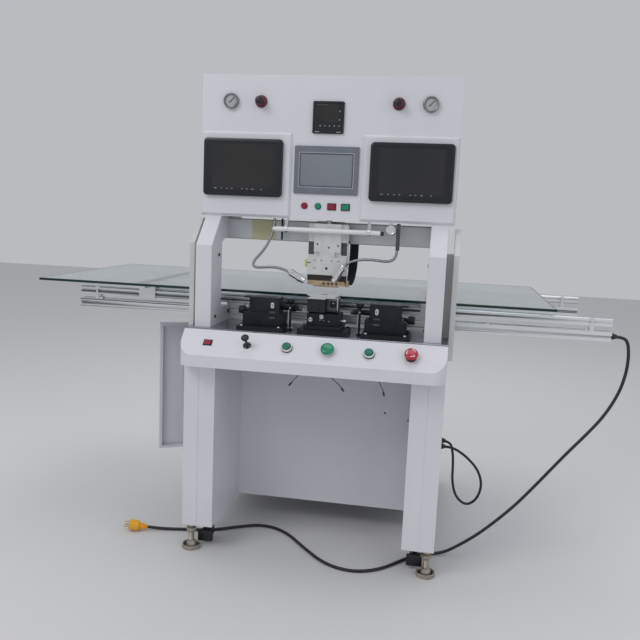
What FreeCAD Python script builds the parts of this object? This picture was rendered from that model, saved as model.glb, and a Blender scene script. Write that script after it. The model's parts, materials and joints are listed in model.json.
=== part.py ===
import FreeCAD, Part
import Sketcher
import math
import os
import re

doc = FreeCAD.newDocument("BondingMachine")
sheet = doc.addObject("Spreadsheet::Sheet", "Sizes")
vector = FreeCAD.Vector
nodes = []


# Driving dimensions in millimetres and degrees, seen from the operator's side: x to the right, y to the
# back, z up
sizes = {
    # Object frame: the machine's own centre plane and post front are moved by these two
    "shiftX": 40.5,  # centre plane of the machine, from the middle of the whole width
    "shiftY": -386,  # front face of the posts, from the middle of the whole depth
    "sheetWall": 2,  # sheet metal of the housings
    "slideGap": 0.2,  # gap between two flat sliding faces
    "runningGap": 0.05,  # radial clearance of a running fit

    # Pedestals and rear cabinet
    "legOuter": 404,  # outer face of a pedestal
    "legWidth": 100,  # width of a pedestal
    "legFront": -27,  # front face of the pedestals
    "legBack": 862,  # back of the base
    "legBottom": 89,  # underside of the pedestals
    "deckTop": 737,  # working surface of the deck
    "deckThick": 20,  # thickness of the deck plate
    "seamX": 356,  # seam on the pedestal's front face
    "seamWidth": 2,  # width of the seam
    "seamDepth": 1,  # depth of the seam
    "kneeY": 281,  # front face of the knee panel
    "kneeFoldZ": 140,  # fold line of the knee panel
    "kneeLip": 30,  # bottom lip of the knee panel
    "kneeHoleRadius": 4,  # holes in the knee panel
    "louverWidth": 150,  # width of a louver slot
    "louverHigh": 5,  # height of a louver slot
    "louverPitch": 14,  # pitch of the louver slots
    "louverCount": 9,  # slots in one bank

    # Side door
    "doorRear": 422,  # hinged edge of the door when closed
    "doorWidth": 240,  # width of the door
    "doorBottom": 225,  # lower edge of the door
    "doorHigh": 465,  # height of the door
    "doorGap": 1,  # gap round the door
    "doorPan": 18,  # depth of the door's folded rim
    "doorLip": 8,  # return lip of the rim
    "doorOpen": 60,  # angle at which the door stands open
    "hingeX": 410,  # hinge axis from the centre plane
    "hingeInset": 3,  # hinge axis behind the door's edge
    "hingePin": 2,  # radius of the hinge pin
    "hingeBarrel": 4,  # radius of the hinge barrel
    "hingeLong": 30,  # length of a hinge barrel
    "hingeLow": 290,  # lower hinge
    "hingeHigh": 610,  # upper hinge
    "lockReach": 150,  # lock from the hinged edge
    "lockHeight": 520,  # height of the lock
    "lockRadius": 9,  # lock barrel
    "keyRing": 12,  # radius of the key ring

    # Posts and side plates
    "postInner": 331,  # inner face of a post
    "postWidth": 52,  # width of a post
    "postDepth": 104,  # depth of the column
    "postCrease": 991,  # height where the front face leans back
    "postLean": 84,  # depth of the leaning front
    "postLeanTop": 1074,  # top of the leaning front
    "footDeep": 191,  # depth of the post's foot
    "footHigh": 48,  # height of the post's foot
    "armBottom": 1009,  # underside of the upper arm
    "throatTop": 997,  # where the throat starts to open to the arm
    "armRound": 130,  # where the arm's underside starts
    "plateThick": 16,  # thickness of the outer side plates
    "plateFront": 50,  # front edge of the side plates
    "plateBottom": 675,  # lower end of the side plates
    "plateTop": 1072,  # upper end of the side plates
    "plateArm": 190,  # reach of the side plate's upper end
    "webDeep": 12,  # depth of the web behind the gap
    "edgeRadius": 3,  # rounding of the folded edges

    # Head cabinet and front panel
    "panelHalf": 401,  # half width of the head cabinet
    "panelFront": 92,  # front face of the panel
    "cabinetBottom": 1082,  # underside of the head cabinet
    "cabinetTop": 1516,  # top of the head cabinet
    "cabinetBack": 330,  # back of the head cabinet
    "podInner": 110,  # inner edge of the raised monitor field
    "podTop": 1344,  # top of the raised monitor field
    "podProud": 8,  # how far the monitor field stands out
    "podBevel": 6,  # bevel of the raised field
    "floorCutHalf": 45,  # half width of the cut in the cabinet floor
    "floorCutBack": 150,  # rear edge of the cut in the cabinet floor

    # Instruments on the panel
    "monitorX": 261.5,  # centre of a monitor
    "monitorZ": 1234,  # centre height of the monitors
    "monitorWidth": 252,  # width of a monitor
    "monitorHigh": 176,  # height of a monitor
    "monitorThick": 14,  # depth of a monitor
    "monitorRound": 12,  # corner radius of a monitor
    "screenEdge": 11,  # bezel round the monitor's glass
    "screenFoot": 17,  # bezel under the monitor's glass
    "screenSunk": 1,  # how deep the screens lie
    "touchWidth": 200,  # width of the touch screen's bezel
    "touchHigh": 145,  # height of the touch screen's bezel
    "touchThick": 7,  # thickness of the touch screen's bezel
    "touchZ": 1234,  # centre height of the touch screen
    "touchGlassWidth": 158,  # width of the touch glass
    "touchGlassHigh": 93,  # height of the touch glass
    "touchBody": 34,  # depth of the touch screen's case
    "touchInset": 5,  # touch screen's case inside its bezel
    "heatWidth": 96,  # front of the temperature controller
    "heatZ": 1392,  # centre height of the temperature controller
    "heatThick": 8,  # thickness of the controller's front
    "heatBody": 60,  # depth of the controller's case
    "heatInset": 3,  # controller's case inside its front
    "gaugeX": 307,  # centre of a pressure gauge
    "gaugeZ": 1436,  # centre height of the gauges and regulators
    "gaugeRadius": 24,  # radius of a gauge's rim
    "gaugeBody": 20,  # radius of a gauge's case
    "gaugeProud": 13,  # how far a gauge stands out
    "gaugeDial": 6,  # depth of the dial behind the rim
    "needleLong": 14,  # length of a needle
    "needlePin": 1,  # radius of a needle's shaft
    "knobX": 212,  # centre of a regulator knob
    "knobRing": 17.5,  # radius of the regulator's lock ring
    "knobCap": 12.5,  # radius of the regulator's cap
    "knobLong": 34,  # length of the regulator knob
    "knobFlutes": 12,  # flutes round the cap
    "knobShaft": 5,  # radius of the regulator's shaft
    "collarRadius": 19,  # radius of the regulator's collar
    "collarThick": 3,  # thickness of the regulator's collar
    "buttonZ": 1124,  # row of panel buttons
    "buttonPitch": 43,  # pitch of the panel buttons
    "roundBezel": 10.5,  # rim of a round panel button
    "roundCap": 7.8,  # cap of a round panel button
    "bezelThick": 3,  # thickness of the rims
    "capGap": 0.3,  # gap round a cap in its rim
    "rockerWide": 22,  # width of a rocker
    "rockerHigh": 16,  # height of a rocker
    "rockerFrame": 2.2,  # frame round a rocker
    "rockerProud": 4,  # how far a rocker stands out

    # Console and its controls
    "consoleFront": -100,  # front face of the console
    "consoleBottom": 629,  # underside of the console
    "consoleBreak": 665,  # top of the console's front face
    "consoleBackTop": 733,  # rear edge of the sloping face
    "consoleRound": 46,  # corner radius of the console in plan
    "controlStart": -317,  # first control on the console
    "controlPitch": 123.4,  # pitch of the controls on the console
    "greenBezel": 14.7,  # rim of a start button
    "greenCap": 11,  # cap of a start button
    "mushroomRadius": 20,  # radius of a mushroom head
    "mushroomNeck": 11,  # radius of a mushroom's neck
    "mushroomHigh": 24,  # height of a mushroom button
    "stickRadius": 3,  # radius of the joystick's shaft
    "stickHigh": 36,  # height of the joystick's ball
    "ballRadius": 11,  # radius of the joystick's ball
    "bootRadius": 8,  # boot of the joystick
    "bootLow": 2,  # where the boot leaves the joystick's stem
    "gimbalDeep": 12,  # joystick pivot below the face
    "trunnionRadius": 2,  # trunnions of the joystick's gimbal
    "stickPin": 1.5,  # cross pin of the joystick

    # Beam, lamp and bonding head
    "beamFront": 165,  # front of the cross beam
    "beamDeep": 60,  # depth of the cross beam
    "beamHigh": 66,  # height of the cross beam
    "beamWall": 4,  # wall of the cross beam
    "headX": 12,  # centre of the bonding head
    "headHalf": 62,  # half width of the head
    "headFront": 100,  # front face of the head
    "frontPlate": 12,  # thickness of the front plate
    "backPlate": 17,  # thickness of the moving plate
    "columnHalf": 24,  # half width of the front plate's column
    "earHalf": 42.5,  # half width across the upper ears
    "earBottom": 983,  # underside of the ears
    "headMiddle": 968,  # top of the wide lower plate
    "headBottom": 911,  # underside of the head plate
    "headTop": 1071,  # top of the moving plate
    "headLip": 8,  # lip along the lower plate's foot
    "headLipProud": 3,  # how far that lip stands out
    "screwRadius": 3.2,  # screw holes in the head plate
    "dowelRadius": 4.2,  # centre hole in the head plate
    "railWide": 20,  # width of the head's linear rail
    "railThick": 12,  # thickness of the head's linear rail
    "guideBottom": 985,  # lower end of the guide plate
    "guideHalf": 45,  # half width of the guide plate
    "blockHalf": 24,  # half width of the slide block
    "blockHigh": 60,  # height of the slide block
    "insulatorHigh": 18,  # height of the insulating block
    "heaterHigh": 14,  # height of the heater block
    "heaterHalf": 58,  # half width of the heater block
    "heaterHoleRadius": 3,  # cartridge holes in the heater
    "heaterHolePitch": 14,  # pitch of the cartridge holes
    "bladeHigh": 6,  # height of the bonding blade
    "bladeThick": 5,  # thickness of the bonding blade
    "bladeHalf": 40,  # half width of the bonding blade
    "headDeep": 40,  # depth of the heater and insulator
    "cylinderSide": 36,  # side of the press cylinder
    "cylinderLong": 64,  # length of the press cylinder
    "pistonRadius": 8,  # piston rod
    "lampRadius": 8,  # radius of the lamp tube
    "lampY": 88,  # lamp tube from the post front
    "lampZ": 1049,  # height of the lamp tube
    "lampLeft": -166,  # left end of the lamp tube
    "lampRight": 172,  # right end of the lamp tube
    "lampCap": 14,  # length of a lamp cap
    "clipX": 130,  # lamp clips from the head's centre
    "clipWide": 10,  # width of a lamp clip
    "cableWide": 29,  # width of the head's flat cable
    "cableThick": 6,  # thickness of the head's flat cable
    "neckRadius": 3.6,  # radius of the lamp necks
    "spotRadius": 9.5,  # radius of a spot lamp
    "spotLong": 50,  # length of a spot lamp

    # Rails, carriages and glass
    "railLeft": -869,  # left end of the rails
    "railLength": 1773,  # length of the rails
    "frontRailY": 215,  # centre of the front rail
    "rearRailY": 837,  # centre of the rear rail
    "trackWide": 30,  # width of the upper rail
    "trackHigh": 25,  # height of the upper rail
    "trackTop": 817,  # top of the upper rail
    "trackGroove": 4,  # depth of the rail's side groove
    "girderWide": 40,  # width of the lower beam
    "girderHigh": 31,  # height of the lower beam
    "girderBottom": 745,  # underside of the lower beam
    "slotOpen": 8,  # opening of the beam's slots
    "slotDeep": 9,  # depth of the beam's slots
    "supportHalf": 310,  # deck blocks under the beams, from the centre
    "supportWide": 60,  # width of the deck blocks
    "stopInset": 62,  # end stops from the rails' ends
    "stopWide": 14,  # width of an end stop
    "screwKnob": 4,  # radius of the clamp screws on the rails
    "carriageLeft": -623,  # left carriages at rest
    "carriagePitch": 962,  # distance between the carriages
    "carriageWide": 58,  # width of a carriage
    "carriageCheek": 6,  # cheek of a carriage beside the rail
    "carriageTop": 829,  # top of the carriages
    "carriageDrop": 787,  # lower edge of the cheeks
    "crossBarWide": 40,  # width of the bars under the glass
    "crossBarInset": 8,  # bars' ends inside the glass edge
    "glassLeft": -985,  # left edge of the glass
    "glassLength": 1710,  # length of the glass
    "glassFront": 122,  # front edge of the glass
    "glassDeep": 750,  # depth of the glass
    "glassThick": 8,  # thickness of the glass
    "glassTop": 845,  # top of the glass
    "glassEdge": 1,  # ground edge of the glass
    "glassCorner": 6,  # corner radius of the glass

    # Stages on the deck
    "stageX": 23.5,  # centre plane of the stages and of the support's body
    "stagePlate": 14,  # thickness of the stages' base plates
    "supportBodyHalf": 50.5,  # half width of the support's body
    "supportHalfWide": 50,  # half width of the support bar
    "supportTop": 852,  # top of the support bar
    "supportBarHigh": 6,  # thickness of the support bar
    "supportBarFront": 56,  # front edge of the support bar
    "supportBarBack": 117,  # rear edge of the support bar
    "supportBevel": 14,  # bevelled ends of the support bar
    "supportBodyTop": 800,  # top of the support's fixed body
    "pinGuide": 6,  # radius of the support's guide pins
    "pinSpread": 24,  # guide pins from the head's centre
    "stageNear": 120,  # inner edge of a camera stage
    "stageFar": 265,  # outer edge of a camera stage
    "columnNear": 140,  # inner face of the stage column
    "stageColumn": 96,  # width of the stage column
    "stageTop": 838,  # top of the stage column
    "stageRail": 10,  # height of the stage's slide
    "slideBlockNear": 127,  # inner face of the slide block
    "slideBlockFar": 253,  # outer face of the slide block
    "slideBlockTop": 790,  # top of the slide block
    "micrometerRadius": 12,  # micrometer head
    "micrometerLong": 20,  # length of the micrometer head
    "micrometerZ": 792,  # height of the micrometer
    "lensRadius": 9,  # radius of the lens barrel
    "lensNear": 78,  # inner end of the lens barrel
    "lensZ": 806,  # height of the lens barrel
    "lensY": 62,  # lens barrel from the post front
    "rodOffset": 108.5,  # clamp rods from the stages' centre plane
    "rodRadius": 3,  # radius of the clamp rods
    "rodY": 38,  # clamp rods from the post front
    "rodTop": 822,  # top of the clamp rods
    "hubRadius": 8,  # hub on a clamp rod
    "hubZ": 803,  # underside of the hub
    "hubHigh": 12,  # height of the hub
    "teeWide": 24,  # width of the tee on a clamp rod

    # Feet and casters
    "footX": 382,  # levelling feet from the centre plane
    "footFrontY": 4,  # front levelling feet
    "footRearY": 824,  # rear levelling feet
    "footRadius": 29.5,  # radius of a levelling foot
    "footDisc": 10,  # thickness of a levelling foot
    "stemRadius": 6,  # stem of a levelling foot
    "nutRadius": 11,  # nut of a levelling foot
    "casterX": 344,  # casters from the centre plane
    "casterFrontY": 66,  # front casters
    "casterRearY": 757,  # rear casters
    "wheelRadius": 25,  # caster wheel
    "wheelWide": 18,  # width of a caster wheel
    "wheelLift": 2,  # wheel clear of the floor
    "casterTrail": 14,  # trail of a caster
    "forkSheet": 3,  # sheet of a caster's fork
    "forkGap": 1.5,  # gap beside a wheel
    "axleRadius": 4,  # axle of a caster
    "casterPlate": 4,  # mounting plate of a caster
    "casterPlateSide": 56,  # side of a caster's mounting plate

    # Cords
    "leadRadius": 5,  # radius of the mains lead
    "plugRadius": 21,  # radius of the plug
    "plugLong": 34,  # length of the plug's body
    "plugNeck": 28,  # length of the plug's sleeve
    "pinRadius": 2.4,  # radius of the plug's pins
    "pinLong": 19,  # length of the plug's pins
    "glandLong": 18,  # length of a strain relief
    "glandRadius": 10,  # foot of a strain relief
    "hoseRadius": 4.5,  # radius of the looped hose
    "wireRadius": 1.2,  # radius of the hanging wires
    "wireTip": 3,  # half width of a wire's connector
    "wireTipLong": 14,  # length of a wire's connector
}
for row, (alias, number) in enumerate(sizes.items(), 1):
    sheet.set("A%d" % row, alias)
    sheet.set("B%d" % row, str(number))
    sheet.setAlias("B%d" % row, alias)
doc.recompute()

FUNCTIONS = {"sin", "cos", "tan", "atan", "sqrt", "min", "max", "abs"}


def formula(text):
    """The text of an expression, with every alias led by the sheet's name."""
    return re.sub(r"[A-Za-z]\w*",
                  lambda word: word.group(0) if word.group(0) in FUNCTIONS else "Sizes." + word.group(0),
                  str(text))


def value(alias):
    return float(sheet.get(alias))


def bind(item, prop, text):
    item.setExpression(prop, formula(text))


def place(item, x="0", y="0", z="0"):
    for axis, text in (("x", x), ("y", y), ("z", z)):
        bind(item, "Placement.Base." + axis, text)
    return item


TURNS = {
    "X": FreeCAD.Rotation(vector(0, 1, 0), 90),
    "-X": FreeCAD.Rotation(vector(0, 1, 0), -90),
    "Y": FreeCAD.Rotation(vector(1, 0, 0), -90),
    "-Y": FreeCAD.Rotation(vector(1, 0, 0), 90),
    "Z": FreeCAD.Rotation(),
    "-Z": FreeCAD.Rotation(vector(1, 0, 0), 180),
}


def aim(item, axis):
    """Turn a piece so that its own z axis points along the named axis."""
    item.Placement = FreeCAD.Placement(vector(0, 0, 0), TURNS[axis])
    return item


def block(name, dx, dy, dz, x="0", y="0", z="0"):
    item = doc.addObject("Part::Box", name)
    for prop, text in (("Length", dx), ("Width", dy), ("Height", dz)):
        bind(item, prop, text)
    return place(item, x, y, z)


def rod(name, radius, length, x="0", y="0", z="0", axis="Z"):
    item = aim(doc.addObject("Part::Cylinder", name), axis)
    bind(item, "Radius", radius)
    bind(item, "Height", length)
    return place(item, x, y, z)


def cone(name, radius, tip, length, x="0", y="0", z="0", axis="Z"):
    item = aim(doc.addObject("Part::Cone", name), axis)
    bind(item, "Radius1", radius)
    bind(item, "Radius2", tip)
    bind(item, "Height", length)
    return place(item, x, y, z)


def fuse(name, items):
    item = doc.addObject("Part::MultiFuse", name)
    item.Shapes = items
    return item


def group(name, items):
    item = doc.addObject("Part::Compound", name)
    item.Links = items
    return item


def cut(name, base, tools):
    item = doc.addObject("Part::Cut", name)
    item.Base = base
    item.Tool = tools[0] if len(tools) == 1 else group(name + "Tools", tools)
    return item


def node(label, item, x="0", y="0", z="0", tilt=None):
    """Name a finished piece and move it into the object's frame; tilt turns it about the x axis."""
    item.Label = label
    if tilt is not None:
        item.Placement = FreeCAD.Placement(vector(0, 0, 0), FreeCAD.Rotation(vector(1, 0, 0), 1))
        bind(item, "Placement.Rotation.Angle", tilt)
    nodes.append(item)
    return place(item, x + " + shiftX", y + " + shiftY", z)


def origin_plane(body, role):
    return [plane for plane in body.Origin.OriginFeatures if plane.Role == role][0]


def outline(body, name, plane, points, start="0", circles=()):
    """A closed sketch of straight sides through the points, with round holes, at a height over its plane."""
    item = body.newObject("Sketcher::SketchObject", name)
    item.AttachmentSupport = (origin_plane(body, plane + "_Plane"), "")
    item.MapMode = "FlatFace"
    bind(item, "AttachmentOffset.Base.z", start)
    count = len(points)
    ring = [vector(math.cos(2 * math.pi * i / max(count, 1)), math.sin(2 * math.pi * i / max(count, 1)), 0)
            for i in range(count)]
    for i in range(count):
        item.addGeometry(Part.LineSegment(ring[i], ring[(i + 1) % count]), False)
    for i in range(count):
        item.addConstraint(Sketcher.Constraint("Coincident", i, 2, (i + 1) % count, 1))
    for i, (x, y) in enumerate(points):
        for kind, text, start_value in (("DistanceX", x, ring[i].x), ("DistanceY", y, ring[i].y)):
            index = item.addConstraint(Sketcher.Constraint(kind, -1, 1, i, 1, start_value))
            item.setExpression("Constraints[%d]" % index, formula(text))
    for x, y, radius in circles:
        hole = item.addGeometry(Part.Circle(vector(1, 1, 0), vector(0, 0, 1), 1), False)
        for kind, text in (("DistanceX", x), ("DistanceY", y)):
            index = item.addConstraint(Sketcher.Constraint(kind, -1, 1, hole, 3, 1.0))
            item.setExpression("Constraints[%d]" % index, formula(text))
        index = item.addConstraint(Sketcher.Constraint("Radius", hole, 1.0))
        item.setExpression("Constraints[%d]" % index, formula(radius))
    return item


def prism(name, plane, points, start, length, circles=()):
    """A body padded from an outline; on the XZ plane it runs from the start towards the back."""
    body = doc.addObject("PartDesign::Body", name)
    offset = "-(%s)" % start if plane == "XZ" else start
    sketch = outline(body, name + "Outline", plane, points, offset, circles)
    pad = body.newObject("PartDesign::Pad", name + "Pad")
    pad.Profile = sketch
    bind(pad, "Length", length)
    if plane == "XZ":
        pad.Reversed = True
    return body


def turned(name, points):
    """A body turned about its own z axis from an outline of radius and height."""
    body = doc.addObject("PartDesign::Body", name)
    sketch = outline(body, name + "Outline", "XZ", points)
    turn = body.newObject("PartDesign::Revolution", name + "Turn")
    turn.Profile = sketch
    turn.ReferenceAxis = (sketch, ["V_Axis"])
    turn.Angle = 360
    return body


def rectangle(x0, y0, x1, y1):
    return [(x0, y0), (x1, y0), (x1, y1), (x0, y1)]


def runs_along(edge, axis):
    ends = [vertex.Point for vertex in edge.Vertexes]
    if len(ends) != 2 or edge.Curve.TypeId != "Part::GeomLine":
        return False
    step = ends[1] - ends[0]
    return abs(getattr(step, axis)) > 0.999 * step.Length


def soften(body, kind, amount, pick):
    """Round or bevel the edges of a body's last feature that the pick function takes."""
    doc.recompute()
    base = body.Tip
    names = ["Edge%d" % (i + 1) for i, edge in enumerate(base.Shape.Edges) if pick(edge, edge.CenterOfMass)]
    item = body.newObject("PartDesign::" + kind, body.Name + kind)
    item.Base = (base, names)
    bind(item, "Radius" if kind == "Fillet" else "Size", amount)
    return body


def near(a, b):
    return abs(a - b) < 0.01


def cord(name, points, radius):
    """A round tube along straight runs joined by tangent arcs, as large as the two runs allow."""
    path = []
    start = vector(*points[0])
    radii = []
    for i in range(1, len(points) - 1):
        before = vector(*points[i - 1])
        corner = vector(*points[i])
        after = vector(*points[i + 1])
        into = (corner - before).normalize()
        out = (after - corner).normalize()
        half = into.getAngle(out) / 2
        reach = 0.45 * min((corner - before).Length, (after - corner).Length)
        bend = reach / math.tan(half)
        radii.append(bend)
        enter = corner - into * reach
        leave = corner + out * reach
        middle = corner + (out - into).normalize() * (bend / math.cos(half) - bend)
        path.append(Part.LineSegment(start, enter).toShape())
        path.append(Part.Arc(enter, middle, leave).toShape())
        start = leave
    path.append(Part.LineSegment(start, vector(*points[-1])).toShape())
    wire = Part.Wire(path)
    first = (vector(*points[1]) - vector(*points[0])).normalize()
    circle = Part.Wire(Part.makeCircle(radius, vector(*points[0]), first))
    shape = wire.makePipeShell([circle], True, False)
    print("%s: length %.0f, volume ratio %.4f, tightest bend %.1f of %d"
          % (name, wire.Length, shape.Volume / (math.pi * radius ** 2 * wire.Length), min(radii), len(radii)))
    item = doc.addObject("Part::Feature", name)
    item.Shape = shape
    return item


# Pedestals: open-topped sheet boxes, the left one with the door's opening and hinge pins
def pedestal(side, title):
    left = "legOuter - legWidth" if side > 0 else "-legOuter"
    shell = block(title + "Outer", "legWidth", "legBack - legFront", "deckTop - deckThick - legBottom",
                  left, "legFront", "legBottom")
    tools = [block(title + "Inner", "legWidth - 2 * sheetWall", "legBack - legFront - 2 * sheetWall",
                   "deckTop - deckThick - legBottom", left + " + sheetWall", "legFront + sheetWall",
                   "legBottom + sheetWall"),
             block(title + "Seam", "seamWidth", "2 * seamDepth", "deckTop - legBottom",
                   "%d * seamX - seamWidth / 2" % side, "legFront - seamDepth", "legBottom + 5")]
    if side < 0:
        tools.append(block("DoorOpening", "3 * sheetWall", "doorWidth + 2 * doorGap", "doorHigh + 2 * doorGap",
                           "-legOuter - sheetWall", "doorRear - doorWidth - doorGap", "doorBottom - doorGap"))
    return cut(title + "Shell", shell, tools)


def hinge_seat(index, height):
    """The fixed half of a hinge: a leaf on the wall, an ear under the barrel and the pin."""
    axis_y = "doorRear + hingeInset"
    leaf = block("HingeLeaf%d" % index, "sheetWall", "22", "hingeLong + 8", "-legOuter - sheetWall",
                 axis_y + " + 4", height + " - 8")
    ear = block("HingeEar%d" % index, "hingeX - legOuter + hingeBarrel", "9", "8 - 0.3",
                "-hingeX - hingeBarrel", axis_y + " - hingePin - 0.3", height + " - 8")
    pin = rod("HingePin%d" % index, "hingePin", "hingeLong + 4", "-hingeX", axis_y, height + " - 4")
    return [leaf, ear, pin]


left_shell = pedestal(-1, "Left")
node("left_pedestal", fuse("LeftPedestal", [left_shell] + hinge_seat(1, "hingeLow") + hinge_seat(2, "hingeHigh")))
node("right_pedestal", group("RightPedestal", [pedestal(1, "Right")]))

# Knee panel: a folded sheet between the pedestals with a lip under it
knee_half = "legOuter - legWidth"
knee = prism("KneeSheet", "YZ", [
    ("kneeY", "legBottom"), ("kneeY + kneeLip", "legBottom"), ("kneeY + kneeLip", "legBottom + sheetWall"),
    ("kneeY + sheetWall", "legBottom + sheetWall"), ("kneeY + sheetWall", "deckTop - deckThick"),
    ("kneeY", "deckTop - deckThick")], "-(%s)" % knee_half, "2 * (%s)" % knee_half)
knee_fold = block("KneeFold", "2 * legOuter", "seamDepth", "seamWidth", "-legOuter", "kneeY - seamDepth / 2",
                  "kneeFoldZ")
knee_hole_a = rod("KneeHoleA", "kneeHoleRadius", "4 * sheetWall", "209", "kneeY - sheetWall", "432", "Y")
knee_hole_b = rod("KneeHoleB", "kneeHoleRadius", "4 * sheetWall", "289", "kneeY - sheetWall", "413", "Y")
node("knee_panel", cut("KneePanel", knee, [knee_fold, knee_hole_a, knee_hole_b]))

# Rear cover of the base: a sheet with two banks of louver slots
back = doc.addObject("PartDesign::Body", "BaseBackCover")
back_sketch = outline(back, "BackOutline", "XZ", rectangle(
    "-(legOuter - legWidth)", "legBottom + 6", "legOuter - legWidth", "deckTop - deckThick"), "-(legBack - sheetWall)")
back_pad = back.newObject("PartDesign::Pad", "BackPad")
back_pad.Profile = back_sketch
back_pad.Reversed = True
bind(back_pad, "Length", "sheetWall")
for bank, left in enumerate(("-220", "70")):
    slot_sketch = outline(back, "SlotOutline%d" % bank, "XZ", rectangle(
        left, "500", left + " + louverWidth", "500 + louverHigh"), "-(legBack - 2 * sheetWall)")
    slot = back.newObject("PartDesign::Pocket", "Slot%d" % bank)
    slot.Profile = slot_sketch
    bind(slot, "Length", "4 * sheetWall")
    doc.recompute()
    rows = back.newObject("PartDesign::LinearPattern", "SlotRows%d" % bank)
    rows.Originals = [slot]
    rows.Direction = (slot_sketch, ["V_Axis"])
    bind(rows, "Length", "louverPitch * (louverCount - 1)")
    bind(rows, "Occurrences", "louverCount")
    back.Tip = rows
node("base_back_cover", back)

# Deck plate
deck = prism("DeckPlate", "XY", rectangle("-legOuter", "legFront", "legOuter", "legBack"),
             "deckTop - deckThick", "deckThick")
soften(deck, "Chamfer", "1", lambda edge, middle: near(middle.z, value("deckTop")))
node("deck_plate", deck)

# Console: a box with round front corners, cut to a slope and hollowed from behind
slope_run = "(legFront - consoleFront)"
slope_rise = "(consoleBackTop - consoleBreak)"
slope_angle = "atan(%s / %s)" % (slope_rise, slope_run)
console = prism("ConsoleShell", "XY", rectangle("-legOuter", "consoleFront", "legOuter", "legFront"),
                "consoleBottom", "consoleBackTop - consoleBottom")
soften(console, "Fillet", "consoleRound",
       lambda edge, middle: runs_along(edge, "z") and near(middle.y, value("consoleFront")))
wedge_sketch = outline(console, "WedgeOutline", "YZ", [
    ("consoleFront - 10", "consoleBreak - 10 * %s / %s" % (slope_rise, slope_run)),
    ("legFront + 10", "consoleBackTop + 10 * %s / %s" % (slope_rise, slope_run)),
    ("consoleFront - 10", "consoleBackTop + 40")])
wedge = console.newObject("PartDesign::Pocket", "Wedge")
wedge.Profile = wedge_sketch
wedge.Midplane = True
bind(wedge, "Length", "2 * legOuter + 20")
doc.recompute()
rear_faces = ["Face%d" % (i + 1) for i, face in enumerate(wedge.Shape.Faces)
              if near(face.CenterOfMass.y, value("legFront"))]
hollow = console.newObject("PartDesign::Thickness", "Hollow")
hollow.Base = (wedge, rear_faces)
hollow.Reversed = True
bind(hollow, "Value", "sheetWall")
control_row_y = "(legFront + consoleFront) / 2"
control_row_z = "(consoleBackTop + consoleBreak) / 2"
control_names = ("Rocker", "Stick", "GreenA", "Mushroom", "GreenB", "Stop")


def control_x(index):
    return "controlStart + %d * controlPitch" % index


def on_slope(item, index):
    """Seat a piece, modelled on a flat floor, on the console's sloping face."""
    item.Placement = FreeCAD.Placement(vector(0, 0, 0), FreeCAD.Rotation(vector(1, 0, 0), 1))
    bind(item, "Placement.Rotation.Angle", slope_angle)
    return place(item, control_x(index), control_row_y, control_row_z)


console_cuts = []
cut_radii = {"Stick": "bootRadius + 3", "GreenA": "greenCap + capGap", "Mushroom": "mushroomNeck + capGap",
             "GreenB": "greenCap + capGap", "Stop": "mushroomNeck + capGap"}
for index, title in enumerate(control_names):
    if title == "Rocker":
        tool = block("RockerHole", "rockerWide + 2 * capGap", "rockerHigh + 2 * capGap", "20",
                     "-rockerWide / 2 - capGap", "-rockerHigh / 2 - capGap", "-10")
        tool = group("RockerHoleSeat", [tool])
    else:
        tool = group(title + "HoleSeat", [rod(title + "Hole", cut_radii[title], "20", "0", "0", "-10")])
    console_cuts.append(on_slope(tool, index))
node("console_shell", cut("Console", console, console_cuts))


# Posts: C-shaped columns with a leaning front, a foot behind and an arm over the throat
def post(side, title):
    start = "postInner" if side > 0 else "-postInner - postWidth"
    body = prism(title, "YZ", [
        ("0", "deckTop"), ("footDeep", "deckTop"), ("footDeep", "deckTop + footHigh"),
        ("postDepth", "deckTop + footHigh"), ("postDepth", "throatTop"), ("armRound", "armBottom"),
        ("cabinetBack", "armBottom"), ("cabinetBack", "cabinetBottom"), ("panelFront", "cabinetBottom"),
        ("postLean", "postLeanTop"), ("0", "postCrease")], start, "postWidth")
    soften(body, "Fillet", "edgeRadius",
           lambda edge, middle: middle.y < value("postLean") - 1 and not runs_along(edge, "x")
           and not near(middle.z, value("deckTop")))
    return body


node("posts", group("Posts", [post(-1, "LeftPost"), post(1, "RightPost")]))


# Outer side plates: each stands beside a post, with a web that closes the gap behind
def side_plate(side, title):
    start = "legOuter" if side > 0 else "-legOuter - plateThick"
    lean = "plateTop - postCrease"
    plate = prism(title + "Plate", "YZ", [
        ("plateFront", "plateBottom"), ("postDepth", "plateBottom"), ("postDepth", "throatTop"),
        ("armRound", "armBottom"), ("plateArm", "armBottom"), ("plateArm", "plateTop"),
        ("plateFront + postLean * (%s) / (postLeanTop - postCrease)" % lean, "plateTop"),
        ("plateFront", "postCrease + 4")], start, "plateThick")
    web = block(title + "Web", "legOuter - postInner - postWidth", "webDeep", "throatTop - deckTop",
                "postInner + postWidth" if side > 0 else "-legOuter", "postDepth - webDeep", "deckTop")
    return fuse(title, [plate, web])


node("side_plates", group("SidePlates", [side_plate(-1, "LeftSide"), side_plate(1, "RightSide")]))

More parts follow.
